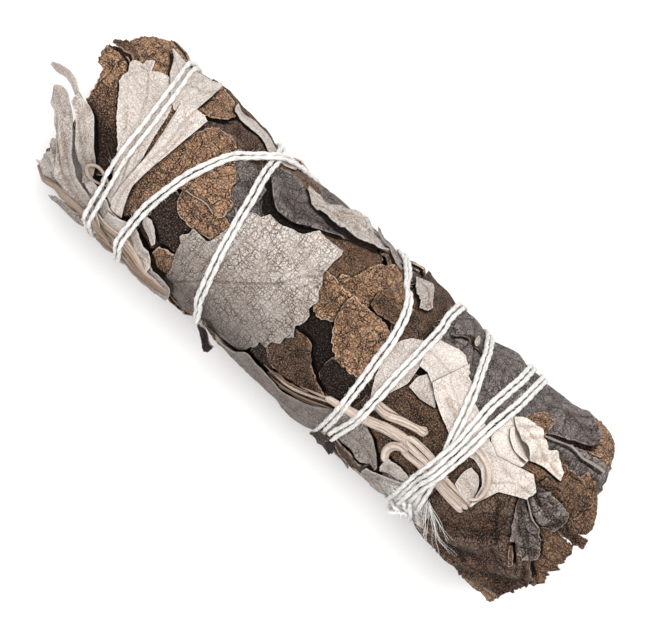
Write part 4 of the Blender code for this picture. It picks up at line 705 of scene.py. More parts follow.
leaf("fold_leaf_3", "sage",
     [(31, 5.0), (33, 3.6), (35.2, 2.5), (38, 3.3), (41.3, 4.4), (43.3, 2.5)],
     [(31, -0.9), (33, -0.2), (34.8, -0.6), (36.6, -2.2), (37.3, -5.4), (38.4, -3.1), (39.2, -1.2), (43, 0.9)],
     crum=0.12, lift=(0.4, 0.7, 0, 0.5), sp=0.3, stiff=6, rag=(0, 0.3), soft=0.1, bow=0.0, tone=0.65,
     folds=[((31.5, 3), (42, 2.8), 0.5, 1.0), ((33, 1.6), (38, -3), 0.5, 0.9)], net=0.55)


# ---------------------------------------------------------------- laying the leaves
FLOOR = dict(dark=14.2, grey=14.35, ash=14.35, mid=14.35, brown=14.55, sage=14.85, stalk=15.0)
THICK = dict(dark=0.2, grey=0.2, ash=0.2, mid=0.2, brown=0.2, sage=0.24, stalk=0.4)
WRINKLE = dict(dark=0.16, grey=0.1, ash=0.1, mid=0.15, brown=0.1, sage=0.03, stalk=0.03)
JAG = dict(dark=0.3, grey=0.16, ash=0.2, mid=0.28, brown=0.24, sage=0.07, stalk=0.08)
SKIN = dict(dark=14.9, grey=15.1, ash=15.1, mid=15.1, brown=15.4, sage=15.8, stalk=15.8)
TABLE_Z = AXIS_Z - 0.03


def along(line, u):
    n = len(line) - 1
    f = u * n
    k = np.clip(np.floor(f).astype(int), 0, n - 1)
    t = f - k
    return line[k] + (line[k + 1] - line[k]) * t[..., None]


def smooth3(r):
    p = np.pad(r, 1, mode="edge")
    p = 2 * p[1:-1] + p[:-2] + p[2:]
    return (2 * p[:, 1:-1] + p[:, :-2] + p[:, 2:]) / 16.0


def under_table(r, a):
    """Nothing goes below the table the bundle lies on."""
    c = -np.cos(a)
    lim = np.where(c > 0.25, TABLE_Z / np.maximum(c, 0.25), 99.0)
    return np.minimum(r, lim)


def bell(d, w):
    return np.exp(-(d / w) ** 2)


def segment_dist(px, py, p0, p1):
    vx, vy = p1[0] - p0[0], p1[1] - p0[1]
    L2 = vx * vx + vy * vy
    t = ((px - p0[0]) * vx + (py - p0[1]) * vy) / L2
    tc = np.clip(t, 0, 1)
    d = np.hypot(px - p0[0] - tc * vx, py - p0[1] - tc * vy)
    fade = np.clip(np.minimum(t, 1 - t) * 5, 0, 1)
    return d, fade


def leaf_grid(o, index):
    seed = 100 + 13 * index
    rng = np.random.default_rng(seed)
    flat = o.get("girth", False)
    soft = o.get("soft", 0.35)
    ea = soft * smooth_line(o["a"], n=96) + (1 - soft) * even(np.array(o["a"], float), n=96)
    eb = soft * smooth_line(o["b"], n=96) + (1 - soft) * even(np.array(o["b"], float), n=96)
    skin = o["min"] + 0.7 if "min" in o else SKIN[o["kind"]]
    if not flat:
        ea, eb = seen(ea, skin), seen(eb, skin)
    ea, eb = even(ea, n=120), even(eb, n=120)
    run = max(np.linalg.norm(np.diff(ea, axis=0), axis=1).sum(), np.linalg.norm(np.diff(eb, axis=0), axis=1).sum())
    gap = np.linalg.norm(ea - eb, axis=1)
    cell = o.get("sp", 0.5) * COARSE
    nu = max(6, int(math.ceil(run / (cell * 0.82))))
    nv = max(6, int(math.ceil(gap.max() * 0.93 / cell)))
    nu, nv = nu + nu % 2, nv + nv % 2
    U, V = np.meshgrid(np.linspace(0, 1, nu + 1), np.linspace(0, 1, nv + 1), indexing="ij")
    # ends: a little bowed and ragged
    ends = []
    for k, (w, amp) in enumerate(zip((gap[0], gap[-1]), o.get("rag", (0.0, 0.0)))):
        bow = min(0.2 * w, 0.7) * o.get("bow", 0.6) * 4 * V * (1 - V)
        torn = amp * 1.5 * fbm(V * w / 1.7 + 3.1, 0 * V + seed, seed + k, 3) + 0.1 * noise(V * w / 0.45, 0 * V, seed + k)
        ends.append((bow + torn) / run)
    u = -ends[0] + (1 + ends[0] + ends[1]) * U
    A, B = along(ea, u), along(eb, u)
    w = np.maximum(np.linalg.norm(B - A, axis=2), 0.25)
    teeth = o.get("teeth", (0.0, 0.0, 1.2))
    off = []
    for k in (0, 1):
        q = u * run / teeth[2] + 0.35 * noise(u * run / 4.0, 0 * u, seed + 3 + k)
        scallop = np.abs(np.sin(math.pi * q)) ** 0.75 - 0.55
        jag = JAG[o["kind"]] if "jag" not in o else o["jag"]
        rough = jag * fbm(u * run / 1.5, 0 * u + 3 * k, seed + 7, 2) + 0.5 * jag * ridged(u * run / 0.8, 0 * u + k, seed + 9, 1)
        off.append((teeth[k] * scallop + rough) * np.minimum(1, w / 1.2))
    t = -off[0] / w + (1 + (off[0] + off[1]) / w) * V
    P = A + (B - A) * t[..., None]
    x, a = P[..., 0], P[..., 1] / R0
    e_a, e_b = V * w, (1 - V) * w
    e_0, e_1 = U * run, (1 - U) * run
    ax, ay = P[..., 0], P[..., 1]
    if "rib" in o:
        rib = [tuple(p) for p in seen(o["rib"], skin)]
    else:
        rib = (ea + eb)[::12] * 0.5
    s, d = rib_coords(ax, ay, rib)
    return dict(o=o, seed=seed, x=x, a=a, w=w, run=run, e=(e_a, e_b, e_0, e_1), s=s, d=d, nu=nu, nv=nv, ax=ax, ay=ay, skin=skin)


GRIDS = [leaf_grid(o, k) for k, o in enumerate(LEAVES)]

# what lies over each leaf
covered = np.zeros((NX, NA))
for g in reversed(GRIDS):
    soft = blur(covered, 2)
    g["cover"] = look(soft, g["x"], g["a"])
    splat(covered, g["x"], g["a"], np.ones_like(g["x"]), sub=2)
    g["cord"] = look(near_cord, g["x"], g["a"])


def lay(g):
    global H
    o, seed = g["o"], g["seed"]
    x, a, e = g["x"], g["a"], g["e"]
    kind = o["kind"]
    cell = o.get("sp", 0.5) * COARSE
    need = np.maximum(spread(H, 1, 1), least(o.get("min", FLOOR[kind])))
    r0 = look(need, x, a) + 0.03
    r = r0.copy()
    for _ in range(int(round(o.get("stiff", 6) * 2 * (0.4 / cell) ** 2))):
        r = np.maximum(r0, smooth3(r))
    for _ in range(2):
        r = smooth3(r)
    s, d = g["s"], g["d"]
    edge = np.minimum(np.minimum(e[0], e[1]), np.minimum(e[2], e[3]))
    # crumple, longer along the rib
    crum = o.get("crum", 0.3)
    big = 0.5 + 0.5 * ridged(s / 5.2 + seed, d / 2.6, seed, 2)
    fine = 0.5 + 0.5 * ridged(s / 2.3, d / 1.25 + seed, seed + 4, 2)
    disp = crum * (0.8 * np.clip(big, 0, 1) ** 1.3 + (0.12 if kind == "sage" else 0.4) * np.clip(fine, 0, 1))
    if "flare" in o:
        t = np.clip((x - o["flare"][0]) / (o["flare"][1] - o["flare"][0]), 0, 1)
        disp = disp + o["flare"][2] * t * t * (3 - 2 * t)
    wrinkle = o.get("wrinkle", WRINKLE[kind])
    disp = disp + wrinkle * (0.6 + 0.6 * ridged(s / 1.15 + seed, d / 0.8, seed + 6, 2))
    disp = disp * np.clip(edge / 0.6, 0.75, 1)
    # margins that have curled up in drying
    lift = o.get("lift", (0.15, 0.15, 0.1, 0.1))
    for k in range(4):
        if lift[k] > 0:
            vary = 0.62 + 0.75 * noise((x if k < 2 else a * R0) / 3.3, 0 * x + k, seed + 20 + k)
            span = 1.15 + 0.5 * lift[k]
            disp = disp + lift[k] * np.clip(vary, 0.12, 1.5) * bell(e[k], span)
    for p0, p1, height, width in o.get("folds", ()):
        q0, q1 = (p0, p1) if o.get("girth") else seen([p0, p1], g["skin"])
        dist, fade = segment_dist(g["ax"], g["ay"], q0, q1)
        dist = dist + 0.25 * noise(s / 1.9, d / 1.9, seed + 50)
        tent = np.clip(1 - np.abs(dist) / width, 0, 1)
        disp = disp + height * fade * (tent * tent * (3 - 2 * tent) if height > 0 else -1 + 0 * tent)
        if height < 0:
            disp = disp - height * fade * (1 - bell(dist, width * 0.45))
    press = 1 - np.exp(-(g["cord"] / o.get("grip", 2.1)) ** 2)
    keep = (1 - 0.85 * np.clip(g["cover"] * 1.25, 0, 1)) * (0.12 + 0.88 * press)
    disp = np.maximum(disp, 0) * keep
    inner = r + disp
    thick = o.get("thick", THICK[kind]) * (0.55 + 0.45 * np.clip(edge / 0.7, 0, 1))
    outer = inner + thick + 0.035 * fbm(s / 0.8, d / 0.8, seed + 60, 2)
    outer = under_table(outer, a)
    inner = np.minimum(inner, outer - 0.5 * thick)
    # hollows on the sheet itself; the materials darken them as painted shade and lighten the bumps as painted highlight
    low = outer
    for _ in range(int(round(5 * (0.35 / cell) ** 2)) + 1):
        low = smooth3(low)
    cav = np.clip((low - outer) / 0.12, -1, 1)
    if not o.get("loose"):
        splat(H, x, a, outer)
    # painted shade where later leaves lie over this one (cover), scaled by shut
    shade = np.clip(g["cover"], 0, 1) * o.get("shut", 1.0)
    # broad rises and dips of the sheet; the materials lighten rises as painted highlight and darken dips as painted
    # shade
    broad = outer
    for _ in range(int(round(26 * (0.35 / cell) ** 2)) + 1):
        broad = smooth3(broad)
    rise = np.clip((outer - broad) / 0.3, -1, 1)
    # grad ramps the tone across the leaf: in y mostly painted shade, darker on the -y side that turns from the key
    # light, partly the leaf's own change of colour
    gx, gy = o.get("grad", (0.0, 0.0))
    tone = o.get("tone", 0.0) + gx * (g["ax"] - g["ax"].mean()) / 10 + gy * (g["ay"] - g["ay"].mean()) / 10
    wob = 0.35 * noise(s / 4.0, d / 4.0, seed + 70)
    attrs = dict(leaf_uv=np.stack([s + wob, d + wob, 0 * s + index_seed(seed)], -1).reshape(-1, 3), rise=rise.ravel(),
                 plane=np.stack([g["ax"] + 7.3 * index_seed(seed), g["ay"] + 3.1 * index_seed(seed), 0 * s], -1).reshape(-1, 3),
                 edge=np.minimum(edge, 4.0).ravel(), cav=cav.ravel(), shade=shade.ravel(), tone=tone.ravel(), net=np.full(x.size, o.get("net", 1.0)))
    every = np.arange(x.size).reshape(x.shape)[::2, ::2].ravel()
    attrs = {k: np.concatenate([v, v[every]]) for k, v in attrs.items()}
    # the inner skin stays clear of the outer one between its wider points
    p = np.pad(inner, 1, mode="edge")
    deep = np.min([p[i:i + x.shape[0], j:j + x.shape[1]] for i in range(3) for j in range(3)], axis=0)
    co = np.concatenate([place(x, a, outer).reshape(-1, 3), place(x, a, deep).reshape(-1, 3)[every]])
    # outward or not, from which way the grid turns
    turn_sign = np.sign(((x[1:, :-1] - x[:-1, :-1]) * (a[:-1, 1:] - a[:-1, :-1])
                         - (a[1:, :-1] - a[:-1, :-1]) * (x[:-1, 1:] - x[:-1, :-1])).sum())
    emit(o["name"], kind, co, leaf_faces(g["nu"], g["nv"], turn_sign < 0), attrs)


def index_seed(seed):
    return (seed % 97) * 1.37


# ---------------------------------------------------------------- materials
def srgb(r, g, b):
    out = []
    for c in (r, g, b):
        c /= 255.0
        out.append(c / 12.92 if c <= 0.04045 else ((c + 0.055) / 1.055) ** 2.4)
    return (*out, 1.0)


class Maker:
    def __init__(self, name):
        self.mat = bpy.data.materials.new(name)
        self.mat.use_nodes = True
        self.t = self.mat.node_tree
        for n in list(self.t.nodes):
            self.t.nodes.remove(n)
        self.out = self.t.nodes.new("ShaderNodeOutputMaterial")
        self.bsdf = self.t.nodes.new("ShaderNodeBsdfPrincipled")
        self.t.links.new(self.bsdf.outputs[0], self.out.inputs[0])

    def put(self, sock, value):
        if hasattr(value, "is_output"):
            self.t.links.new(value, sock)
        elif isinstance(value, tuple) and len(value) == 4 and sock.type == 'VECTOR':
            sock.default_value = value[:3]
        else:
            sock.default_value = value

    def attr(self, name, which="Fac"):
        n = self.t.nodes.new("ShaderNodeAttribute")
        n.attribute_type = 'GEOMETRY'
        n.attribute_name = name
        return n.outputs[which]

    def math(self, op, a, b=None, c=None, clamp=False):
        n = self.t.nodes.new("ShaderNodeMath")
        n.operation = op
        n.use_clamp = clamp
        self.put(n.inputs[0], a)
        if b is not None:
            self.put(n.inputs[1], b)
        if c is not None:
            self.put(n.inputs[2], c)
        return n.outputs[0]

    def vmath(self, op, a, b=None, scale=None):
        n = self.t.nodes.new("ShaderNodeVectorMath")
        n.operation = op
        self.put(n.inputs[0], a)
        if b is not None:
            self.put(n.inputs[1], b)
        if scale is not None:
            self.put(n.inputs["Scale"], scale)
        return n.outputs[0]

    def split(self, v):
        n = self.t.nodes.new("ShaderNodeSeparateXYZ")
        self.put(n.inputs[0], v)
        return n.outputs

    def join(self, x, y, z=0.0):
        n = self.t.nodes.new("ShaderNodeCombineXYZ")
        for k, q in enumerate((x, y, z)):
            self.put(n.inputs[k], q)
        return n.outputs[0]

    def noise(self, vec, scale, detail=3.0, rough=0.55, color=False):
        n = self.t.nodes.new("ShaderNodeTexNoise")
        n.inputs["Scale"].default_value = scale
        n.inputs["Detail"].default_value = detail
        n.inputs["Roughness"].default_value = rough
        self.put(n.inputs["Vector"], vec)
        return n.outputs["Color" if color else "Fac"]

    def cells(self, vec, scale, feature='DISTANCE_TO_EDGE', rand=1.0):
        n = self.t.nodes.new("ShaderNodeTexVoronoi")
        n.voronoi_dimensions = '2D'
        n.feature = 'F1' if feature == 'CELL' else feature
        n.inputs["Scale"].default_value = scale
        n.inputs["Randomness"].default_value = rand
        self.put(n.inputs["Vector"], vec)
        return n.outputs["Color" if feature == 'CELL' else "Distance"]

    def step(self, v, lo, hi, a=0.0, b=1.0):
        n = self.t.nodes.new("ShaderNodeMapRange")
        n.interpolation_type = 'SMOOTHSTEP'
        for key, q in zip(("Value", "From Min", "From Max", "To Min", "To Max"), (v, lo, hi, a, b)):
            self.put(n.inputs[key], q)
        return n.outputs[0]

    def mix(self, f, a, b, blend='MIX'):
        n = self.t.nodes.new("ShaderNodeMix")
        n.data_type = 'RGBA'
        n.blend_type = blend
        self.put(n.inputs[0], f)
        self.put(n.inputs[6], a)
        self.put(n.inputs[7], b)
        return n.outputs[2]

    def bump(self, height, distance, strength=1.0):
        n = self.t.nodes.new("ShaderNodeBump")
        n.inputs["Strength"].default_value = strength
        n.inputs["Distance"].default_value = distance
        self.put(n.inputs["Height"], height)
        return n.outputs[0]


def leaf_coords(m, warp=0.3, fine_warp=0.1):
    p = m.attr("plane", "Vector")
    wob = m.vmath('SCALE', m.vmath('SUBTRACT', m.noise(p, 1.1, 1.0, color=True), (0.5, 0.5, 0.5)), scale=warp * 2)
    fine = m.vmath('SCALE', m.vmath('SUBTRACT', m.noise(p, 4.0, 1.0, color=True), (0.5, 0.5, 0.5)), scale=fine_warp * 2)
    return p, m.vmath('ADD', m.vmath('ADD', p, wob), fine)


def side_veins(m, p, period, lean, width=0.09):
    """1 on the side veins that leave the midrib at an angle, and 1 on the midrib."""
    s, d, z = m.split(p)
    ad = m.math('ABSOLUTE', d)
    q = m.math('DIVIDE', m.math('SUBTRACT', s, m.math('MULTIPLY', ad, lean)), period)
    dist = m.math('MULTIPLY', m.math('PINGPONG', q, 0.5), period)
    side = m.step(dist, width * 0.4, width * 2.0, 1.0, 0.0)
    rib = m.step(ad, width, width * 3.2, 1.0, 0.0)
    return m.math('MAXIMUM', side, rib), rib


def crackle(m, p, q, sizes, widths, rand=0.8):
    """Lines of the vein net at several cell sizes (mm), each 1 on its lines; they come and go."""
    lines = []
    for size, width in zip(sizes, widths):
        line = m.step(m.cells(q, 1.0 / size, rand=rand), 0.3 * width / size, 0.75 * width / size, 1.0, 0.0)
        faint = m.step(m.noise(p, 0.9 / size ** 0.5, 2.0), 0.38, 0.56, 0.35, 1.0)
        lines.append(m.math('MULTIPLY', line, faint))
    return lines


def sage_material():
    m = Maker("sage_felt")
    p, q = leaf_coords(m, 0.1, 0.05)
    veins, rib = side_veins(m, m.attr("leaf_uv", "Vector"), 2.6, 0.8, 0.1)
    l1, l2, l3 = crackle(m, p, q, (2.2, 0.98, 0.5), (0.12, 0.11, 0.09), 0.7)
    mottle = m.noise(p, 0.22, 3.0)
    patch = m.noise(p, 0.8, 4.0, 0.6)
    grain = m.noise(p, 4.2, 2.0, 0.8)
    tone, shade, cav, edge, rise, bare = (m.attr(k) for k in ("tone", "shade", "cav", "edge", "rise", "net"))
    base = m.mix(m.step(mottle, 0.34, 0.66), srgb(180, 170, 163), srgb(200, 193, 188))
    base = m.mix(m.step(patch, 0.52, 0.72, 0.0, 0.22), base, srgb(164, 149, 137))
    base = m.mix(m.step(tone, 0.0, 1.0, 0.0, 0.85), base, srgb(238, 229, 221))
    # painted highlight on the raised parts of the sheet (rise)
    base = m.mix(m.step(rise, 0.0, 1.0, 0.0, 0.18), base, srgb(224, 217, 210))
    base = m.mix(m.math('MULTIPLY', rib, m.math('MULTIPLY', bare, 0.5)), base, srgb(140, 116, 96))
    where = m.step(m.noise(p, 0.35, 2.0), 0.34, 0.6, 0.5, 1.15)
    net = m.math('MAXIMUM', m.math('MULTIPLY', l1, 0.8), m.math('MULTIPLY', l2, 0.78))
    net = m.math('MAXIMUM', net, m.math('MULTIPLY', l3, 0.6))
    net = m.math('MULTIPLY', net, m.math('MULTIPLY', bare, m.step(tone, 0.0, 1.0, 1.0, 0.75)))
    net = m.math('MAXIMUM', net, m.math('MULTIPLY', veins, m.math('MULTIPLY', bare, 0.55)))
    base = m.mix(m.math('MULTIPLY', net, where, clamp=True), base, srgb(98, 78, 63))
    base = m.mix(m.step(grain, 0.38, 0.49, 0.6, 0.0), base, srgb(186, 169, 157), 'MULTIPLY')
    base = m.mix(m.step(grain, 0.52, 0.63, 0.0, 0.45), base, srgb(232, 226, 220))
    # pale rim along the margins: partly the paler dried edge, partly painted highlight
    base = m.mix(m.step(edge, 0.0, 0.18, 0.5, 0.0), base, srgb(226, 218, 211))
    # painted shade in the hollows of the sheet (cav)
    base = m.mix(m.step(cav, 0.3, 1.1, 0.0, 0.45), base, srgb(186, 164, 148), 'MULTIPLY')
    base = m.mix(m.math('MULTIPLY', tone, -1.0, clamp=True), base, srgb(158, 152, 149), 'MULTIPLY')
    base = m.mix(m.step(shade, 0.15, 0.9, 0.0, 0.75), base, srgb(104, 86, 72), 'MULTIPLY')
    m.put(m.bsdf.inputs["Base Color"], base)
    m.bsdf.inputs["Roughness"].default_value = 0.92
    m.bsdf.inputs["Specular IOR Level"].default_value = 0.12
    m.bsdf.inputs["Sheen Weight"].default_value = 0.08
    m.bsdf.inputs["Sheen Roughness"].default_value = 0.5
    h = m.math('SUBTRACT', m.math('MULTIPLY', grain, 0.9), m.math('MULTIPLY', net, 1.0))
    m.put(m.bsdf.inputs["Normal"], m.bump(h, 0.00018, 0.9))
    return m.mat


def dry_material(name, light, mid, dark, line, high, sizes=(2.5, 1.1, 0.55), widths=(0.16, 0.13, 0.1), weights=(1.0, 0.95, 0.7),
                 gloss=0.25, grit=0.6, depth=0.00045, painted_sheen=None):
    """A dried leaf with a net of sunken veins between small raised cells."""
    m = Maker(name)
    p, q = leaf_coords(m, 0.12, 0.05)
    veins, rib = side_veins(m, m.attr("leaf_uv", "Vector"), 3.1, 0.7, 0.12)
    l1, l2, l3 = crackle(m, p, q, sizes, widths)
    mottle = m.noise(p, 0.3, 3.0)
    patch = m.noise(q, 1.0, 4.0, 0.65)
    grain = m.noise(p, 4.4, 2.0, 0.82)
    cell = m.split(m.cells(q, 1.0 / sizes[1], 'CELL'))[0]
    tone, shade, cav, edge, rise = (m.attr(k) for k in ("tone", "shade", "cav", "edge", "rise"))
    base = m.mix(m.step(mottle, 0.34, 0.66), mid, light)
    base = m.mix(m.step(cell, 0.15, 0.95, 0.0, 0.55), base, light)
    base = m.mix(m.step(cell, 0.0, 0.3, 0.45, 0.0), base, dark)
    base = m.mix(m.step(patch, 0.5, 0.72, 0.0, 0.6), base, dark)
    # painted highlight and sheen on rises and bumps, painted shade in dips and hollows (rise, cav)
    base = m.mix(m.step(rise, 0.05, 0.9, 0.0, 0.6), base, painted_sheen or light)
    base = m.mix(m.step(rise, -1.0, -0.15, 0.6, 0.0), base, dark)
    base = m.mix(m.step(cav, 0.1, 0.9, 0.0, 0.6), base, dark)
    base = m.mix(m.step(cav, -1.0, -0.2, 0.45, 0.0), base, painted_sheen or light)
    base = m.mix(m.step(tone, 0.0, 1.0, 0.0, 0.7), base, light)
    base = m.mix(m.step(tone, -1.0, 0.0, 0.85, 0.0), base, dark)
    where = m.step(m.noise(p, 0.5, 2.0), 0.3, 0.6, 0.6, 1.1)
    net = m.math('MAXIMUM', m.math('MULTIPLY', l1, weights[0]), m.math('MULTIPLY', l2, weights[1]))
    net = m.math('MAXIMUM', net, m.math('MULTIPLY', l3, weights[2]))
    net = m.math('MAXIMUM', net, m.math('MULTIPLY', veins, weights[0] * 0.8))
    base = m.mix(m.math('MULTIPLY', net, where, clamp=True), base, line)
    # painted shade, darkest in the deepest hollows of the sheet
    base = m.mix(m.step(cav, 0.35, 1.3, 0.0, 0.6), base, line)
    base = m.mix(m.step(grain, 0.38, 0.49, grit, 0.0), base, line)
    # tone below -1 darkens towards black: the very dark colour of some leaves, and painted shadow on lens_scrap and on
    # the low end of tone ramps
    base = m.mix(m.step(tone, -2.0, -1.0, 0.9, 0.0), base, srgb(88, 52, 42), 'MULTIPLY')
    speck = m.math('MULTIPLY', m.step(grain, 0.52, 0.64, 0.0, grit * 0.85), m.step(tone, -2.0, -1.0, 0.3, 1.0))
    base = m.mix(speck, base, high)
    # pale rim along the margins, broken by noise: partly the paler dried edge, partly painted highlight
    rim = m.math('MULTIPLY', m.step(edge, 0.0, 0.2, 0.85, 0.0), m.step(m.noise(p, 0.7, 1.0), 0.38, 0.54))
    base = m.mix(rim, base, high)
    base = m.mix(m.step(shade, 0.15, 0.9, 0.0, 0.85), base, srgb(72, 58, 50), 'MULTIPLY')
    m.put(m.bsdf.inputs["Base Color"], base)
    m.put(m.bsdf.inputs["Roughness"], m.step(grain, 0.3, 0.7, 0.6, 0.92))
    m.bsdf.inputs["Specular IOR Level"].default_value = gloss
    h = m.math('SUBTRACT', m.math('MULTIPLY', grain, 1.1), m.math('MULTIPLY', net, 1.0))
    h = m.math('ADD', h, m.math('MULTIPLY', patch, 0.8))
    m.put(m.bsdf.inputs["Normal"], m.bump(h, depth, 1.0))
    return m.mat


def stalk_material():
    m = Maker("stalk_fibre")
    p = m.attr("leaf_uv", "Vector")
    s, d, z = m.split(p)
    strips = m.noise(m.join(m.math('MULTIPLY', s, 0.16), m.math('MULTIPLY', d, 3.6), z), 1.0, 4.0, 0.7)
    knots = m.noise(p, 0.8, 3.0)
    grain = m.noise(p, 4.0, 2.0, 0.6)
    tone, shade = m.attr("tone"), m.attr("shade")
    base = m.mix(m.step(strips, 0.36, 0.6), srgb(166, 147, 133), srgb(211, 197, 185))
    base = m.mix(m.step(knots, 0.54, 0.78, 0.0, 0.5), base, srgb(164, 140, 122))
    base = m.mix(m.step(strips, 0.25, 0.43, 0.9, 0.0), base, srgb(92, 68, 52))
    base = m.mix(m.step(grain, 0.3, 0.5, 0.35, 0.0), base, srgb(130, 106, 88))
    base = m.mix(m.step(tone, -1.0, 0.0, 0.85, 0.0), base, srgb(110, 84, 64))
    base = m.mix(m.step(shade, 0.15, 0.9, 0.0, 0.8), base, srgb(90, 76, 66), 'MULTIPLY')
    m.put(m.bsdf.inputs["Base Color"], base)
    m.bsdf.inputs["Roughness"].default_value = 0.82
    m.bsdf.inputs["Specular IOR Level"].default_value = 0.2
    m.put(m.bsdf.inputs["Normal"], m.bump(m.math('ADD', strips, m.math('MULTIPLY', grain, 0.3)), 0.0003, 1.0))
    return m.mat


def cotton_material():
    m = Maker("cotton_ply")
    p = m.attr("leaf_uv", "Vector")
    s, d, z = m.split(p)
    strands = m.noise(m.join(m.math('MULTIPLY', m.math('ADD', s, m.math('MULTIPLY', d, 1.2)), 0.6),
                             m.math('MULTIPLY', d, 5.0), z), 1.0, 3.0, 0.6)
    lint = m.noise(p, 2.2, 3.0)
    base = m.mix(m.step(strands, 0.28, 0.55), srgb(186, 181, 176), srgb(236, 233, 230))
    base = m.mix(m.step(lint, 0.52, 0.8, 0.0, 0.35), base, srgb(212, 206, 198))
    m.put(m.bsdf.inputs["Base Color"], base)
    m.bsdf.inputs["Roughness"].default_value = 0.95
    m.bsdf.inputs["Specular IOR Level"].default_value = 0.08
    m.bsdf.inputs["Sheen Weight"].default_value = 0.3
    m.bsdf.inputs["Sheen Roughness"].default_value = 0.4
    m.put(m.bsdf.inputs["Normal"], m.bump(strands, 0.00014, 0.9))
    return m.mat


MATERIALS = dict(
    sage=sage_material(),
    brown=dry_material("brown_net", srgb(210, 163, 126), srgb(163, 116, 82), srgb(94, 59, 38), srgb(42, 22, 12),
                       srgb(244, 216, 190), weights=(1.1, 1.0, 0.8), gloss=0.2, grit=0.68),
    mid=dry_material("dull_brown", srgb(150, 114, 87), srgb(107, 75, 54), srgb(50, 32, 22), srgb(22, 12, 7),
                     srgb(200, 169, 145), weights=(0.95, 0.85, 0.65), gloss=0.22, grit=0.7),
    dark=dry_material("dark_brown", srgb(116, 85, 64), srgb(77, 50, 35), srgb(36, 19, 10), srgb(12, 6, 3),
                      srgb(170, 151, 138), weights=(0.95, 0.85, 0.7), gloss=0.16, grit=0.62, painted_sheen=srgb(128, 106, 92)),
    grey=dry_material("dark_grey", srgb(156, 145, 141), srgb(107, 96, 92), srgb(58, 46, 41), srgb(28, 19, 15),
                      srgb(188, 178, 174), weights=(0.9, 0.85, 0.7), gloss=0.22, grit=0.5),
    ash=dry_material("ash_brown", srgb(164, 147, 137), srgb(113, 95, 85), srgb(50, 35, 26), srgb(18, 10, 6),
                     srgb(186, 172, 163), weights=(0.95, 0.85, 0.7), gloss=0.25, grit=0.55, painted_sheen=srgb(164, 154, 150)),
    stalk=stalk_material(),
    string=cotton_material())


# ---------------------------------------------------------------- pieces
PILES = {}


def emit(name, kind, co, quads, attrs):
    """Own piece for a CAD node's leaf; smaller ones are gathered by their kind."""
    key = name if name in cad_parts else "loose_" + kind
    PILES.setdefault(key, dict(kind=kind, parts=[]))["parts"].append((co, quads, attrs))


def tube(path, radius, sides=6, seed=0, flute=0.0, squash=None, frame_up=None, twist=0.0):
    """Closed tube along metres-path; radius in mm per point.  Returns co, quads, attrs."""
    n = len(path)
    radius = np.broadcast_to(np.asarray(radius, float), (n,))
    tan = np.gradient(path, axis=0)
    tan /= np.maximum(np.linalg.norm(tan, axis=1), 1e-12)[:, None]
    if frame_up is None:
        up = np.zeros((n, 3))
        v = np.array([0.0, 0.0, 1.0]) if abs(tan[0][2]) < 0.9 else np.array([1.0, 0.0, 0.0])
        for k in range(n):
            v = v - tan[k] * np.dot(v, tan[k])
            v = v / max(np.linalg.norm(v), 1e-12)
            up[k] = v
    else:
        up = frame_up - tan * np.sum(frame_up * tan, axis=1)[:, None]
        up /= np.maximum(np.linalg.norm(up, axis=1), 1e-12)[:, None]
    side = np.cross(tan, up)
    run = np.concatenate([[0], np.cumsum(np.linalg.norm(np.diff(path, axis=0), axis=1))]) / MM
    ang = 2 * math.pi * np.arange(sides) / sides
    A, R = np.meshgrid(ang, run)
    rad = radius[:, None] * (1 + flute * noise(3.0 * A + seed, R / 6.0, seed) + 0.5 * flute * noise(R / 1.3, 2.0 * A, seed + 2))
    ca, sa = np.cos(A + twist * R), np.sin(A + twist * R)
    flat = 1.0 if squash is None else np.asarray(squash)
    if np.ndim(flat):
        flat = flat[:, None]
    co = path[:, None, :] + (side[:, None, :] * (rad * ca)[..., None] + up[:, None, :] * (rad * sa * flat)[..., None]) * MM
    idx = np.arange(n * sides).reshape(n, sides)
    a, b = idx[:-1], idx[1:]
    a2, b2 = np.roll(a, -1, 1), np.roll(b, -1, 1)
    quads = np.stack([a, a2, b2, b], -1).reshape(-1, 4)
    co = co.reshape(-1, 3)
    # caps: one point at each end, faces as quads folded to triangles are kept out by pairing
    base = len(co)
    co = np.vstack([co, path[0] - tan[0] * radius[0] * 0.35 * MM, path[-1] + tan[-1] * radius[-1] * 0.35 * MM])
    caps = []
    for k in range(0, sides, 2):
        caps.append([idx[0, (k + 2) % sides], idx[0, (k + 1) % sides], idx[0, k], base])
        caps.append([idx[-1, k], idx[-1, (k + 1) % sides], idx[-1, (k + 2) % sides], base + 1])
    quads = np.vstack([quads, np.array(caps)])
    uv = np.stack([R, A * rad, 0 * R + seed * 1.3], -1).reshape(-1, 3)
    uv = np.vstack([uv, uv[:1], uv[-1:]])
    return co, quads, dict(leaf_uv=uv, edge=np.full(len(co), 2.0), cav=np.zeros(len(co)), rise=np.zeros(len(co)), shade=np.zeros(len(co)),
                           tone=np.zeros(len(co)))


def surface_frame(x, arc):
    """Lateral and outward vectors along a path laid on the bundle."""
    tx, ta = np.gradient(x), np.gradient(arc)
    n = np.maximum(np.hypot(tx, ta), 1e-9)
    tx, ta = tx / n, ta / n
    a = arc / R0
    e_a = np.stack([0 * a, np.cos(a), -np.sin(a)], -1)
    e_x = np.stack([1 + 0 * a, 0 * a, 0 * a], -1)
    out = np.stack([0 * a, np.sin(a), np.cos(a)], -1)
    lateral = -ta[:, None] * e_x + tx[:, None] * e_a
    return lateral, out, -ta, tx


def rest_height(x, arc, half, lx, la, n=5):
    best = np.zeros(len(x))
    for o in np.linspace(-half, half, n):
        best = np.maximum(best, look(H, x + o * lx, (arc + o * la) / R0) - 0.0)
    return best


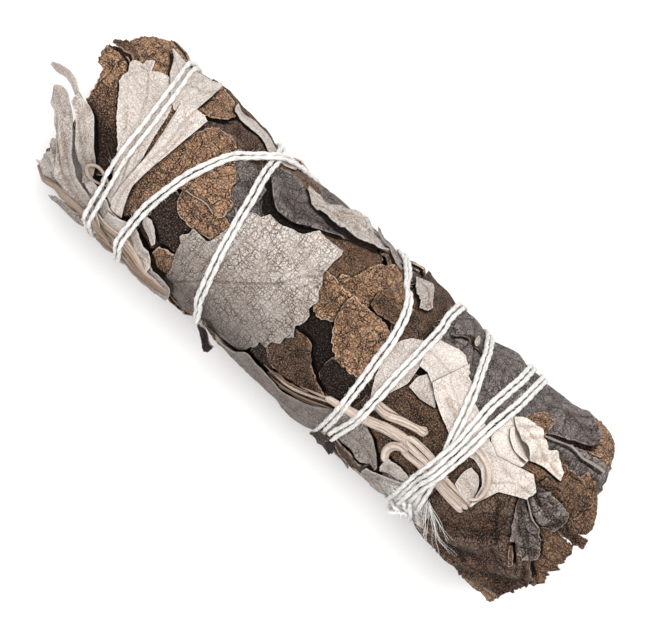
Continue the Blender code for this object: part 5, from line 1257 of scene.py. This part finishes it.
def taut(r, rounds, floor=None):
    floor = r if floor is None else floor
    r = np.maximum(r, floor)
    for _ in range(rounds):
        s = r.copy()
        s[1:-1] = 0.25 * r[:-2] + 0.5 * r[1:-1] + 0.25 * r[2:]
        r = np.maximum(floor, s)
    for _ in range(3):
        r[1:-1] = 0.25 * r[:-2] + 0.5 * r[1:-1] + 0.25 * r[2:]
    return r


def strap(name, kind, pts, height=0.7, sides=10, rounds=30, raise_by=0.0, flute=0.16, seed=1, tone=0.0, cad=None, girth=False,
          rises=None):
    """A stalk or strand lying on the bundle: pts are (along, across, width in mm)."""
    given = np.array(pts, float)
    at = np.full(len(given), 16.0)
    for _ in range(1 if girth else 3):
        p = given if girth else seen(given, at)
        line = smooth_line(p, step=0.45 * COARSE)
        x, arc, w = line[:, 0], line[:, 1], np.maximum(line[:, 2], 0.12)
        lateral, out, lx, la = surface_frame(x, arc)
        floor = np.maximum(rest_height(x, arc, 0.3, lx, la, 3), 14.6)
        run = np.concatenate([[0], np.cumsum(np.hypot(np.diff(x), np.diff(arc)))])
        r = taut(floor, rounds) + 0.5 * w * height * 0.8 + raise_by
        if rises is not None:
            r = r + np.interp(run / run[-1], np.linspace(0, 1, len(rises)), rises)
        at = np.array([r[np.argmin(np.hypot(x - q[0], arc - q[1]))] for q in p])
    path = place(x, arc / R0, r)
    taper = np.clip(np.minimum(run, run[-1] - run) / 0.35 + 0.45, 0, 1)
    co, quads, attrs = tube(path, 0.5 * w * taper, sides, seed, flute, squash=np.full(len(x), height), frame_up=out)
    attrs["tone"][:] = tone
    emit(cad or name, kind, co, quads, attrs)
    for o in np.linspace(-0.5, 0.5, 5):
        i = np.clip(np.rint((x + o * w * lx - X_LOW) / DX).astype(int), 0, NX - 1)
        j = np.rint((arc + o * w * la) / R0 / DA).astype(int) % NA
        np.maximum.at(H, (i, j), r + 0.5 * w * height * math.sqrt(max(0.0, 1 - (1.6 * o) ** 2)))


# ---------------------------------------------------------------- sprigs inside
def swirl(y, z, x, seed):
    """Press the layers of the bundle about without any of them crossing another."""
    e = 0.12

    def flow(y, z):
        r = np.hypot(y, z)
        t = np.clip((13.6 - r) / 3.4, 0, 1)
        return t * t * (3 - 2 * t) * (noise(y / 5.2 + x / 34.0 + 5, z / 5.2, seed) + 0.45 * noise(y / 2.5 + 9, z / 2.5 + x / 26.0, seed + 1))

    for _ in range(5):
        vy = (flow(y, z + e) - flow(y, z - e)) / (2 * e)
        vz = -(flow(y + e, z) - flow(y - e, z)) / (2 * e)
        y, z = y + 1.15 * vy, z + 1.15 * vz
    return y, z


DEPTH = np.array([0, 0.45, 0.95, 1.6, 2.5, 3.8, 5.6, 8.5, 13.0, 19.0])


def inner_leaf(rng, seed, rad, a0, span, side, end, kind, tone):
    """A leaf in the packing: one arc of a layer, from the bundle's end inwards."""
    na = max(5, int(math.ceil(rad * span / (0.72 * COARSE))))
    v = np.linspace(0, 1, na + 1)
    depth = DEPTH[::2] if COARSE > 1 else DEPTH
    w = rad * span
    cut = end + side * (0.8 * fbm(v * w / 2.3, 0 * v, seed, 3) + rng.uniform(0.1, 0.9) * 4 * v * (1 - v) * min(1.0, w / 6))
    X = cut[None, :] - side * depth[:, None]
    narrow = 1 - 0.3 * rng.uniform(0, 1) * np.exp(-depth / 3.0)[:, None]
    A = a0 + span * (0.5 + (v[None, :] - 0.5) * narrow) + 0 * X
    near = np.exp(-depth / 3.5)[:, None]
    r = rad + near * 0.16 * fbm(A * rad / 1.5, X / 2.5, seed + 3, 2) + near ** 2 * rng.uniform(-0.2, 0.25)
    got = []
    for off in (0.1, -0.1):
        y, z = swirl((r + off) * np.sin(A), (r + off) * np.cos(A), X, 77)
        r_, a_ = np.hypot(y, z), np.arctan2(y, z)
        r_ = np.minimum(r_, 13.75)
        c = -np.cos(a_)
        got.append((a_, np.where(c > 0.5, np.minimum(r_, 12.9 / np.maximum(c, 0.5)), r_)))
    co = np.concatenate([place(X, a_, r_).reshape(-1, 3) for a_, r_ in got])
    arc = A * rad
    edge = np.minimum(np.minimum(depth[:, None] + 0 * X, (v * w)[None, :] + 0 * X), ((1 - v) * w)[None, :] + 0 * X)
    # shade: painted shade that deepens inwards from the cut end
    attrs = dict(leaf_uv=np.stack([X, arc - rad * (a0 + span / 2), 0 * X + (seed % 50) * 0.37], -1).reshape(-1, 3),
                 edge=np.minimum(edge, 4).ravel(), cav=np.zeros(X.size), rise=(0.5 * fbm(arc / 1.6, X / 3.0, seed + 11, 2)).ravel(),
                 shade=(1 - np.exp(-depth / 2.6)[:, None] + 0 * X).ravel() * 0.95, tone=np.full(X.size, tone))
    attrs = {q: np.concatenate([b, b]) for q, b in attrs.items()}
    return co, shell_faces(len(depth) - 1, na, side > 0), attrs, got[0]


def sprig(k):
    name = "inner_sprig_%d" % (k + 1)
    rng = np.random.default_rng(40 + k)
    mid = math.radians(45 + 90 * k)
    PILES[name] = dict(kind="mid", parts=[])
    step = 0.66 * (1.3 if COARSE > 1 else 1.0)
    for side, ends in ((-1, -46.3), (1, 48.3)):
        for n, rad in enumerate(np.arange(1.0, 13.3, step)):
            a = mid - math.radians(47) + rng.uniform(-0.12, 0.12)
            last = mid + math.radians(46)
            while a < last - 0.12:
                span = min(rng.uniform(3.2, 13.0) / rad, last - a + 0.1, 1.75)
                dome = (0.8 if side < 0 else 1.6) * (1 - (rad / 13.5) ** 2)
                end = ends + side * (dome + np.clip(rng.normal(0, 0.85), -2.2, 1.2) - 0.4)
                kind = rng.choice(["mid", "mid", "brown", "dark", "sage", "grey"])
                tone = {"mid": rng.uniform(-0.5, 0.6), "brown": rng.uniform(-0.7, 0.3), "dark": rng.uniform(-0.4, 0.9),
                        "sage": rng.uniform(-0.7, -0.1), "grey": rng.uniform(-0.7, 0.3)}[kind]
                co, quads, attrs, _ = inner_leaf(rng, 900 + 300 * k + 11 * n + int(97 * a) % 89 + (7 if side > 0 else 0), rad, a, span, side, end,
                                                 kind, tone)
                if kind == "mid":
                    PILES[name]["parts"].append((co, quads, attrs))
                else:
                    PILES.setdefault("loose_" + kind, dict(kind=kind, parts=[]))["parts"].append((co, quads, attrs))
                a += span - rng.uniform(-0.02, 0.16)
    # its stems, cut short at the blunt end
    for q, (rr0, off, thick) in enumerate(((5.2, 0.0, 0.95), (8.6, 0.5, 0.6), (9.6, -0.55, 0.5))):
        x0, x1 = -46 + 3 * q, 50.6 + rng.uniform(-0.8, 0.9)
        xs_ = np.linspace(x0, x1, 50)
        rr = rr0 + 0.6 * noise(xs_ / 15.0, 0 * xs_, 70 + k + 5 * q)
        path = place(xs_, mid + off + 0.1 * noise(xs_ / 18.0, 0 * xs_ + 2, 71 + k + 5 * q), rr)
        co, quads, attrs = tube(path, thick * (1 + 0.12 * noise(xs_ / 4.0, 0 * xs_, 72 + q)), 10, 80 + k + 5 * q, 0.12)
        attrs["tone"][:] = 0.9
        PILES[name]["parts"].append((co, quads, attrs))
    # closes the view inwards: a sheet dark in tone and in full painted shade (shade 1)
    nu, na = 12, 26
    U, V = np.meshgrid(np.linspace(-44.5, 47, nu + 1), np.linspace(-1, 1, na + 1), indexing="ij")
    A = mid + math.radians(50) * V
    c = -np.cos(A)
    r = np.where(c > 0.5, np.minimum(13.2, 12.7 / np.maximum(c, 0.5)), 13.2)
    co = np.concatenate([place(U, A, r).reshape(-1, 3), place(U, A, r - 0.3).reshape(-1, 3)])
    flat = np.zeros(U.size)
    attrs = dict(leaf_uv=np.stack([U, A * 13, 0 * U + k], -1).reshape(-1, 3), edge=flat + 4, cav=flat, rise=flat, shade=flat + 1, tone=flat - 0.8)
    attrs = {q: np.concatenate([b, b]) for q, b in attrs.items()}
    PILES[name]["parts"].append((co, shell_faces(nu, na, False), attrs))
    splat(H, U, A, r, sub=9)


for k in range(4):
    sprig(k)
H0 = H.copy()


# ---------------------------------------------------------------- stalks, laid in their turn
def after(name):
    if name == "low_pale_leaf_2":
        for k in range(8):
            y0 = -11.6 - 0.42 * k
            strap("strand_%d" % k, "stalk", [(-38 + 0.9 * k, y0 - 0.3, 0.35), (-33, y0 - 0.7, 0.55), (-27, y0 - 1.0 + 0.1 * k, 0.6),
                                             (-20.0 + 0.6 * (k % 3), -13.6 - 0.1 * k, 0.25)], height=0.8, seed=31 + k,
                  tone=-0.35 - 0.15 * (k % 4), raise_by=-0.1)
    if name == "curled_leaf_3":
        strap("twig", "stalk", [(-47.5, -12.9, 0.7), (-46.6, -13.0, 1.1), (-43, -13.2, 1.35), (-38, -13.4, 1.35), (-34, -13.8, 1.1), (-31, -14.2, 0.6)],
              height=0.72, seed=3, cad="twig", raise_by=0.0, tone=-0.65)
    if name == "tan_strip":
        for k, (line, w, t) in enumerate((
                ([(1.5, -11.6), (5, -11.2), (9, -9.6), (13.6, -7.9)], 0.45, -0.3), ([(0.2, -12.1), (4, -12.1), (8, -10.9), (12.6, -9.0)], 0.4, -0.8),
                ([(3, -12.4), (6.5, -12), (10, -10.6), (13, -9.4)], 0.35, -0.5), ([(5.4, -10.2), (8.4, -9.2), (10.8, -8.2), (13.6, -7.2)], 0.4, -0.6),
                ([(-1, -11.5), (2, -11.4), (5, -10.7), (7, -10)], 0.3, -1.0))):
            strap("woody_%d" % k, "stalk", [(x, y, w * q) for (x, y), q in zip(line, (0.6, 1.2, 1.0, 0.7))], height=0.6, seed=41 + k, tone=t)
    if name == "curled_leaf_2":
        strap("petiole_b", "stalk", [(-37.6, -7.6, 0.5), (-38.8, -6.9, 0.6), (-40.4, -6.6, 0.6), (-41.5, -7.0, 0.6), (-41.9, -7.7, 0.6),
                                     (-41.3, -8.3, 0.6), (-40, -8.8, 0.55), (-38.4, -9.2, 0.45)], seed=9, raise_by=0.2, rounds=12, tone=-0.5)
    if name == "low_dark_edge":
        strap("stalk_2", "stalk", [(9.6, -8.7, 1.2), (13, -8.0, 1.6), (16, -7.2, 1.8), (19, -6.2, 1.8), (21.6, -5.5, 2.0), (23.6, -5.2, 1.7)],
              height=0.45, seed=10, cad="stalk_2", raise_by=0.2, sides=12)
        for k, (y1, y2) in enumerate(((-4.3, -5.6), (-5.45, -6.5), (-6.55, -7.4))):
            strap("split_%d" % k, "stalk", [(22.8, -5.0 - 0.4 * k, 0.8), (24.2, y1 - 0.1, 1.15), (27.4, y1 - 0.1, 1.15), (31.5, y2 + 0.2, 1.0),
                                            (35, y2, 1.0), (37.7 - 0.3 * k, y2, 0.95)],
                  height=0.5, seed=11 + k, rounds=30, raise_by=0.08)
        strap("bent_stem", "stalk", [(24.6, -6.4, 0.9), (23.3, -6.6, 1.2), (22.3, -7.3, 1.4), (22.1, -8.5, 1.4), (22.9, -9.5, 1.2)],
              seed=15, raise_by=0.25, rounds=14, height=0.7, tone=-0.1)
        strap("stalk_1", "stalk", [(16.1, -4.2, 1.7), (18, -4.1, 1.9), (20.5, -3.5, 1.4), (23, -2.8, 1.2), (24.2, -2.4, 1.6), (24.9, -2.1, 1.5)],
              height=0.7, seed=16, cad="stalk_1", raise_by=0.35, flute=0.12, tone=0.0)
    if name == "fold_leaf_3":
        strap("petiole_c", "stalk", [(31.6, 1.2, 0.8), (33.4, 1.0, 0.8), (35.2, 0.5, 0.85), (36.8, -0.9, 0.85), (37.7, -2.7, 0.8),
                                     (37.6, -4.3, 0.7), (36.3, -5.3, 0.5)], seed=17, raise_by=0.45, rounds=14, height=0.8, tone=0.1)


for g in GRIDS:
    lay(g)
    after(g["o"]["name"])


# ---------------------------------------------------------------- leaves pressed against the table
def rest_leaf(name, kind, seed):
    lo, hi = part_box(name)
    x0, x1 = max(float(lo[0]) / MM - SHIFT_X - 1.0, -47.6), min(float(hi[0]) / MM - SHIFT_X + 1.0, 49.8)
    half = 7.4
    nu, nv = int((x1 - x0) / (0.5 * COARSE)), int(2 * half / (0.5 * COARSE))
    U, V = np.meshgrid(np.linspace(0, 1, nu + 1), np.linspace(-1, 1, nv + 1), indexing="ij")
    w = half * np.sqrt(np.clip(1 - 0.8 * (2 * U - 1) ** 4, 0.1, 1)) * (1 + 0.05 * fbm(U * 9, V * 2, seed, 2))
    arc = math.pi * R0 + w * V
    x = x0 + (x1 - x0) * U + 0.8 * fbm(V * 4, U, seed + 1, 2)
    a = arc / R0
    base = np.maximum(look(spread(H, 1, 1), x, a) + 0.05, 13.6)
    r = base.copy()
    for _ in range(30):
        r = np.maximum(base, smooth3(r))
    mid = np.clip((1 - np.abs(V)) / 0.35, 0, 1) * np.clip(np.minimum(U, 1 - U) / 0.16, 0, 1)
    mid = mid * mid * (3 - 2 * mid)
    lim = TABLE_Z / np.maximum(-np.cos(a), 0.3)
    outer = r + 0.3 + mid * np.maximum(lim - r - 0.3, 0)
    outer = np.minimum(outer, lim)
    edge = np.minimum(np.minimum(U, 1 - U) * (x1 - x0), (1 - np.abs(V)) * w)
    inner = outer - 0.28
    splat(H, x, a, outer)
    attrs = dict(leaf_uv=np.stack([x - x0, arc - math.pi * R0, 0 * x + seed], -1).reshape(-1, 3), edge=np.minimum(edge, 4).ravel(),
                 cav=np.zeros(x.size), rise=(0.6 * fbm(x / 2.0, arc / 1.5, seed + 5, 2)).ravel(), shade=np.zeros(x.size), tone=np.full(x.size, -0.1))
    attrs = {q: np.concatenate([v, v]) for q, v in attrs.items()}
    co = np.concatenate([place(x, a, outer).reshape(-1, 3), place(x, a, inner).reshape(-1, 3)])
    emit(name, kind, co, shell_faces(nu, nv, False), attrs)


rest_leaf("rest_leaf_1", "sage", 301)
rest_leaf("rest_leaf_2", "dark", 302)
rest_leaf("rest_leaf_3", "brown", 303)


# ---------------------------------------------------------------- the string
STRAND = 0.42
cord_line = even(np.stack([route_x, route_a * R0], 1), step=0.34 * COARSE)
cx, carc = cord_line[:, 0], cord_line[:, 1]
lat3, out3, lx, la = surface_frame(cx, carc)
run = np.concatenate([[0], np.cumsum(np.hypot(np.diff(cx), np.diff(carc)))])
strands = []
for k, sgn in enumerate((-1, 1)):
    gap = 0.44 + 0.06 * noise(run / 9.0, 0 * run, 500) + 0.03 * noise(run / 3.0, 0 * run + k, 501)
    loose = bell(cx + 39.2, 5.0) * (np.cos(carc / R0) > 0.1)
    gap = gap + 0.18 * loose
    sx = cx + sgn * gap * lx + 0.06 * noise(run / 5.0, 0 * run, 510 + k)
    sa = carc + sgn * gap * la
    floor = rest_height(sx, sa, 0.3, lx, la, 5) + STRAND - 0.1
    strands.append(dict(x=sx, arc=sa, floor=floor, r=taut(floor, int(110 / COARSE ** 2))))
SX = np.concatenate([s["x"] for s in strands])
SA = np.concatenate([s["arc"] for s in strands])
SR = np.concatenate([run, run])
for turn_ in range(3):
    R = np.concatenate([s["r"] for s in strands])
    need = np.zeros(len(R))
    ang = SA / R0
    for i0 in range(0, len(R), 400):
        i1 = min(len(R), i0 + 400)
        dang = ang[i0:i1, None] - ang[None, :]
        dang = (dang + math.pi) % (2 * math.pi) - math.pi
        dist = np.hypot(SX[i0:i1, None] - SX[None, :], dang * R0)
        earlier = SR[None, :] < SR[i0:i1, None] - 12
        lift_ = np.where(earlier & (dist < 0.95), R[None, :] + 0.86 * np.sqrt(np.clip(1 - (dist / 0.95) ** 2, 0, 1)), 0)
        need[i0:i1] = lift_.max(axis=1)
    n = len(run)
    for k, s in enumerate(strands):
        s["r"] = taut(np.maximum(s["floor"], need[k * n:(k + 1) * n]), int(60 / COARSE ** 2))
parts = []
cord_mm = 0.0
for k, s in enumerate(strands):
    a = s["arc"] / R0
    r = under_table(s["r"] + STRAND + 0.03, a) - STRAND - 0.03
    lateral, out, _, _ = surface_frame(s["x"], s["arc"])
    path = place(s["x"], a, r)
    length = np.concatenate([[0], np.cumsum(np.linalg.norm(np.diff(path, axis=0), axis=1))]) / MM
    cord_mm += length[-1]
    s["path"], s["out"], s["length"] = path, out, length
    pitch = 4.2
    phase = 2 * math.pi * length / pitch + 0.9 * noise(length / 7.0, 0 * length, 520 + k) + k * 1.1
    swell = 1 + 0.07 * noise(length / 2.5, 0 * length, 525 + k)
    for ply in (0, 1):
        ph = phase + ply * math.pi
        off = 0.1 * (np.cos(ph)[:, None] * lateral + np.sin(ph)[:, None] * out)
        co, quads, attrs = tube(path + off * MM, 0.31 * swell, 6, 530 + 2 * k + ply, 0.1, frame_up=out, twist=1.6)
        parts.append((co, quads, attrs))
    np.maximum.at(H, (np.clip(np.rint((s["x"] - X_LOW) / DX).astype(int), 0, NX - 1), np.rint(a / DA).astype(int) % NA), r + 0.4)
PILES["binding_string"] = dict(kind="string", parts=parts)
print("string, both strands: %.1f mm" % cord_mm)


def loose_thread(name, pts, radius=0.4, seed=0, plies=True, n=None, taper=0.0):
    """A stretch of string free of the winding: pts are (along, across, height over what lies there)."""
    p = seen(pts, 16.1)
    line = smooth_line(p, step=0.3 * COARSE)
    x, arc, up = line[:, 0], line[:, 1], line[:, 2]
    base = taut(rest_height(x, arc, 0.35, 0 * x + 1, 0 * x, 3), 20)
    path = place(x, arc / R0, base + up)
    lateral, out, _, _ = surface_frame(x, arc)
    length = np.concatenate([[0], np.cumsum(np.linalg.norm(np.diff(path, axis=0), axis=1))]) / MM
    shrink = 1 - taper * length / length[-1]
    got = []
    if not plies:
        return [tube(path, radius * shrink, 4, seed, 0.1)]
    for ply in (0, 1):
        ph = 2 * math.pi * length / 2.1 + ply * math.pi
        off = radius * 0.44 * (np.cos(ph)[:, None] * lateral + np.sin(ph)[:, None] * out) * shrink[:, None]
        got.append(tube(path + off * MM, radius * 0.62 * shrink, 6, seed + ply, 0.1, frame_up=out, twist=1.6))
    return got


knot = []
H_knot = H
knot += loose_thread("k1", [(28.0, -14.9, 0.0), (28.6, -14.0, 0.6), (29.7, -13.7, 1.0), (30.6, -14.3, 0.9), (30.3, -15.4, 0.5),
                            (29.2, -15.6, 0.7), (28.6, -14.8, 1.1), (29.4, -14.0, 1.4), (30.8, -13.7, 0.7), (31.8, -14.2, 0.2)], seed=600, radius=0.36)
PILES["knot"] = dict(kind="string", parts=knot)

# frayed ends and the lint that stands off the string
rng = np.random.default_rng(7)
lint = []
for k in range(17):
    x0, y0 = 32.6 + rng.uniform(-0.5, 0.5), -10.6 + rng.uniform(-0.6, 0.4)
    x1, y1 = 39.6 + rng.uniform(-3.6, 1.6), -12.2 + rng.uniform(-2.2, 1.9)
    midx, midy = (x0 + x1) / 2 + rng.uniform(-0.6, 0.6), (y0 + y1) / 2 + rng.uniform(-0.1, 0.5)
    lint += loose_thread("f", [(x0, y0, 0.3), (midx, midy, rng.uniform(0.2, 0.9)), (x1, y1, rng.uniform(0.05, 0.9))],
                         radius=0.032 + 0.016 * (k % 3 == 0), seed=640 + k, plies=False, taper=0.6)

FIBRE = np.array([[1, 0], [0, 1], [-1, 0], [0, -1]], float)


def fibre(points, thin, co, quads):
    """One thin closed fibre through three points (metres), thin mm at its root."""
    d = points[2] - points[0]
    d = d / np.linalg.norm(d)
    u = np.cross(d, (0.31, 0.52, 0.79))
    u /= np.linalg.norm(u)
    v = np.cross(d, u)
    base = len(co)
    for p, q in zip(points, (1.0, 0.85, 0.4)):
        co += [p + (c0 * u + c1 * v) * thin * q * MM for c0, c1 in FIBRE]
    for a in (0, 4):
        quads += [[base + a + m, base + a + (m + 1) % 4, base + a + 4 + (m + 1) % 4, base + a + 4 + m] for m in range(4)]
    quads += [[base + 3, base + 2, base + 1, base], [base + 8, base + 9, base + 10, base + 11]]


def fibres_done(co, quads):
    flat = np.zeros(len(co))
    return np.array(co), np.array(quads), dict(leaf_uv=np.zeros((len(co), 3)), edge=flat + 2, cav=flat, rise=flat, shade=flat, tone=flat)


def wisps(count, seed):
    """Soft haze of fibres over the knot and the loops that meet there."""
    rng = np.random.default_rng(seed)
    co, quads = [], []
    for k in range(count):
        x, y = 30.0 + rng.normal(0, 2.4), -13.0 + rng.normal(0, 0.9)
        p = seen([(x, y)], 16.2)[0]
        h = float(look(H, p[0], p[1] / R0))
        ang, size, bend = rng.uniform(0, 2 * math.pi), rng.uniform(0.5, 1.5), rng.uniform(-0.8, 0.8)
        pts = []
        for t in (-1, 0, 1):
            qx = p[0] + math.cos(ang) * size * t - math.sin(ang) * bend * abs(t)
            qa = p[1] + math.sin(ang) * size * t * 0.7 + math.cos(ang) * bend * abs(t)
            pts.append(place(np.array(qx), np.array(qa / R0), h + 0.1 + rng.uniform(0.0, 0.5)))
        fibre(pts, rng.uniform(0.014, 0.028), co, quads)
    return fibres_done(co, quads)


def fuzz(count, reach, seed):
    rng = np.random.default_rng(seed)
    co, quads = [], []
    for k in range(count):
        s = strands[rng.integers(2)]
        i = int(rng.integers(4, len(s["path"]) - 4))
        t = s["path"][i + 1] - s["path"][i - 1]
        t /= np.linalg.norm(t)
        o = s["out"][i]
        l = np.cross(t, o)
        ang = rng.uniform(-0.25, math.pi + 0.25)
        away = math.cos(ang) * l + math.sin(ang) * o
        p0 = s["path"][i] + away * 0.3 * MM
        size = reach * rng.uniform(0.35, 1.0)
        d1 = away + t * rng.choice((-1, 1)) * rng.uniform(0.5, 1.6)
        d1 /= np.linalg.norm(d1)
        d2 = d1 * 0.6 + np.cross(d1, t) * rng.uniform(-0.7, 0.7) + rng.normal(0, 0.35, 3)
        p1 = p0 + d1 * size * 0.55 * MM
        p2 = p1 + d2 * size * 0.5 * MM
        if min(p1[2], p2[2]) > 0.0002:
            fibre([p0, p1, p2], rng.uniform(0.014, 0.026), co, quads)
    return fibres_done(co, quads)


lint.append(wisps(int(420 / COARSE ** 2), 91))
lint.append(fuzz(int(3400 / COARSE ** 2), 1.05, 77))
PILES["string_lint"] = dict(kind="string", parts=lint)


# ---------------------------------------------------------------- make the pieces
def build_piles():
    total = 0
    made = {}
    for name, pile in PILES.items():
        co, quads, attrs, base = [], [], {}, 0
        for c, q, t in pile["parts"]:
            co.append(c)
            quads.append(np.where(q < 0, -1, q + base))
            base += len(c)
            if "plane" not in t:
                t = dict(t, plane=t["leaf_uv"])
            if "net" not in t:
                t = dict(t, net=np.ones(len(c)))
            for key, v in t.items():
                attrs.setdefault(key, []).append(v)
        co, quads = np.vstack(co), np.vstack(quads)
        attrs = {k: np.concatenate(v) for k, v in attrs.items()}
        is_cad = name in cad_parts
        obj = new_object("v_" + name if is_cad else name, co, quads, attrs, MATERIALS[pile["kind"]],
                         sharp=0 if pile["kind"] in ("string", "stalk") else 52)
        if is_cad:
            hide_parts(name)
        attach(obj, "root")
        made[name] = obj
        total += 2 * len(quads) - int((quads[:, 3] < 0).sum())
        if 2 * len(quads) > 60000:
            print("large piece", name, 2 * len(quads))
    print("pieces %d, triangles %d" % (len(made), total))
    missing = [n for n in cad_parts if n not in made]
    print("CAD nodes without a piece:", missing)
    return made


made = build_piles()

# ---------------------------------------------------------------- floor, light, camera
bpy.ops.mesh.primitive_plane_add(size=3.0, location=(0, 0, -0.0001))
floor = bpy.context.active_object
floor.name = "floor"
m = Maker("paper_floor")
p = m.t.nodes.new("ShaderNodeTexCoord").outputs["Object"]
m.put(m.bsdf.inputs["Base Color"], m.mix(m.noise(p, 400.0, 2.0), srgb(250, 250, 250), srgb(253, 253, 253)))
m.bsdf.inputs["Roughness"].default_value = 0.9
m.bsdf.inputs["Specular IOR Level"].default_value = 0.1
floor.data.materials.append(m.mat)

world = bpy.data.worlds.new("studio")
bpy.context.scene.world = world
world.use_nodes = True
world.node_tree.nodes["Background"].inputs[0].default_value = (1.0, 1.0, 1.0, 1.0)
world.node_tree.nodes["Background"].inputs[1].default_value = 0.6


def area(name, where, target, size, power, color=(1, 1, 1)):
    light = bpy.data.lights.new(name, 'AREA')
    light.shape = 'RECTANGLE'
    light.size, light.size_y = size
    light.energy = power
    light.color = color
    o = bpy.data.objects.new(name, light)
    o.location = where
    o.rotation_euler = (Vector(target) - Vector(where)).to_track_quat('-Z', 'Y').to_euler()
    bpy.context.scene.collection.objects.link(o)
    return o


area("key", (0.04, 0.17, 0.62), (0, 0, 0.01), (0.5, 0.5), 4.3, (1.0, 0.985, 0.965))
area("fill", (-0.12, -0.36, 0.55), (0, 0, 0.0), (0.7, 0.5), 1.3, (0.985, 0.99, 1.0))

cam = bpy.data.cameras.new("camera")
cam.lens = 135
cam.sensor_width = 36
cam.sensor_fit = 'HORIZONTAL'
cam.clip_start = 0.01
cam.clip_end = 10
camera = bpy.data.objects.new("camera", cam)
camera.location = (0.00270, -0.00102, 0.3778 + 0.0225)
camera.rotation_euler = (0, 0, math.radians(42.87))
bpy.context.scene.collection.objects.link(camera)
bpy.context.scene.camera = camera

scene = bpy.context.scene
scene.view_settings.view_transform = 'Standard'
scene.view_settings.look = 'None'
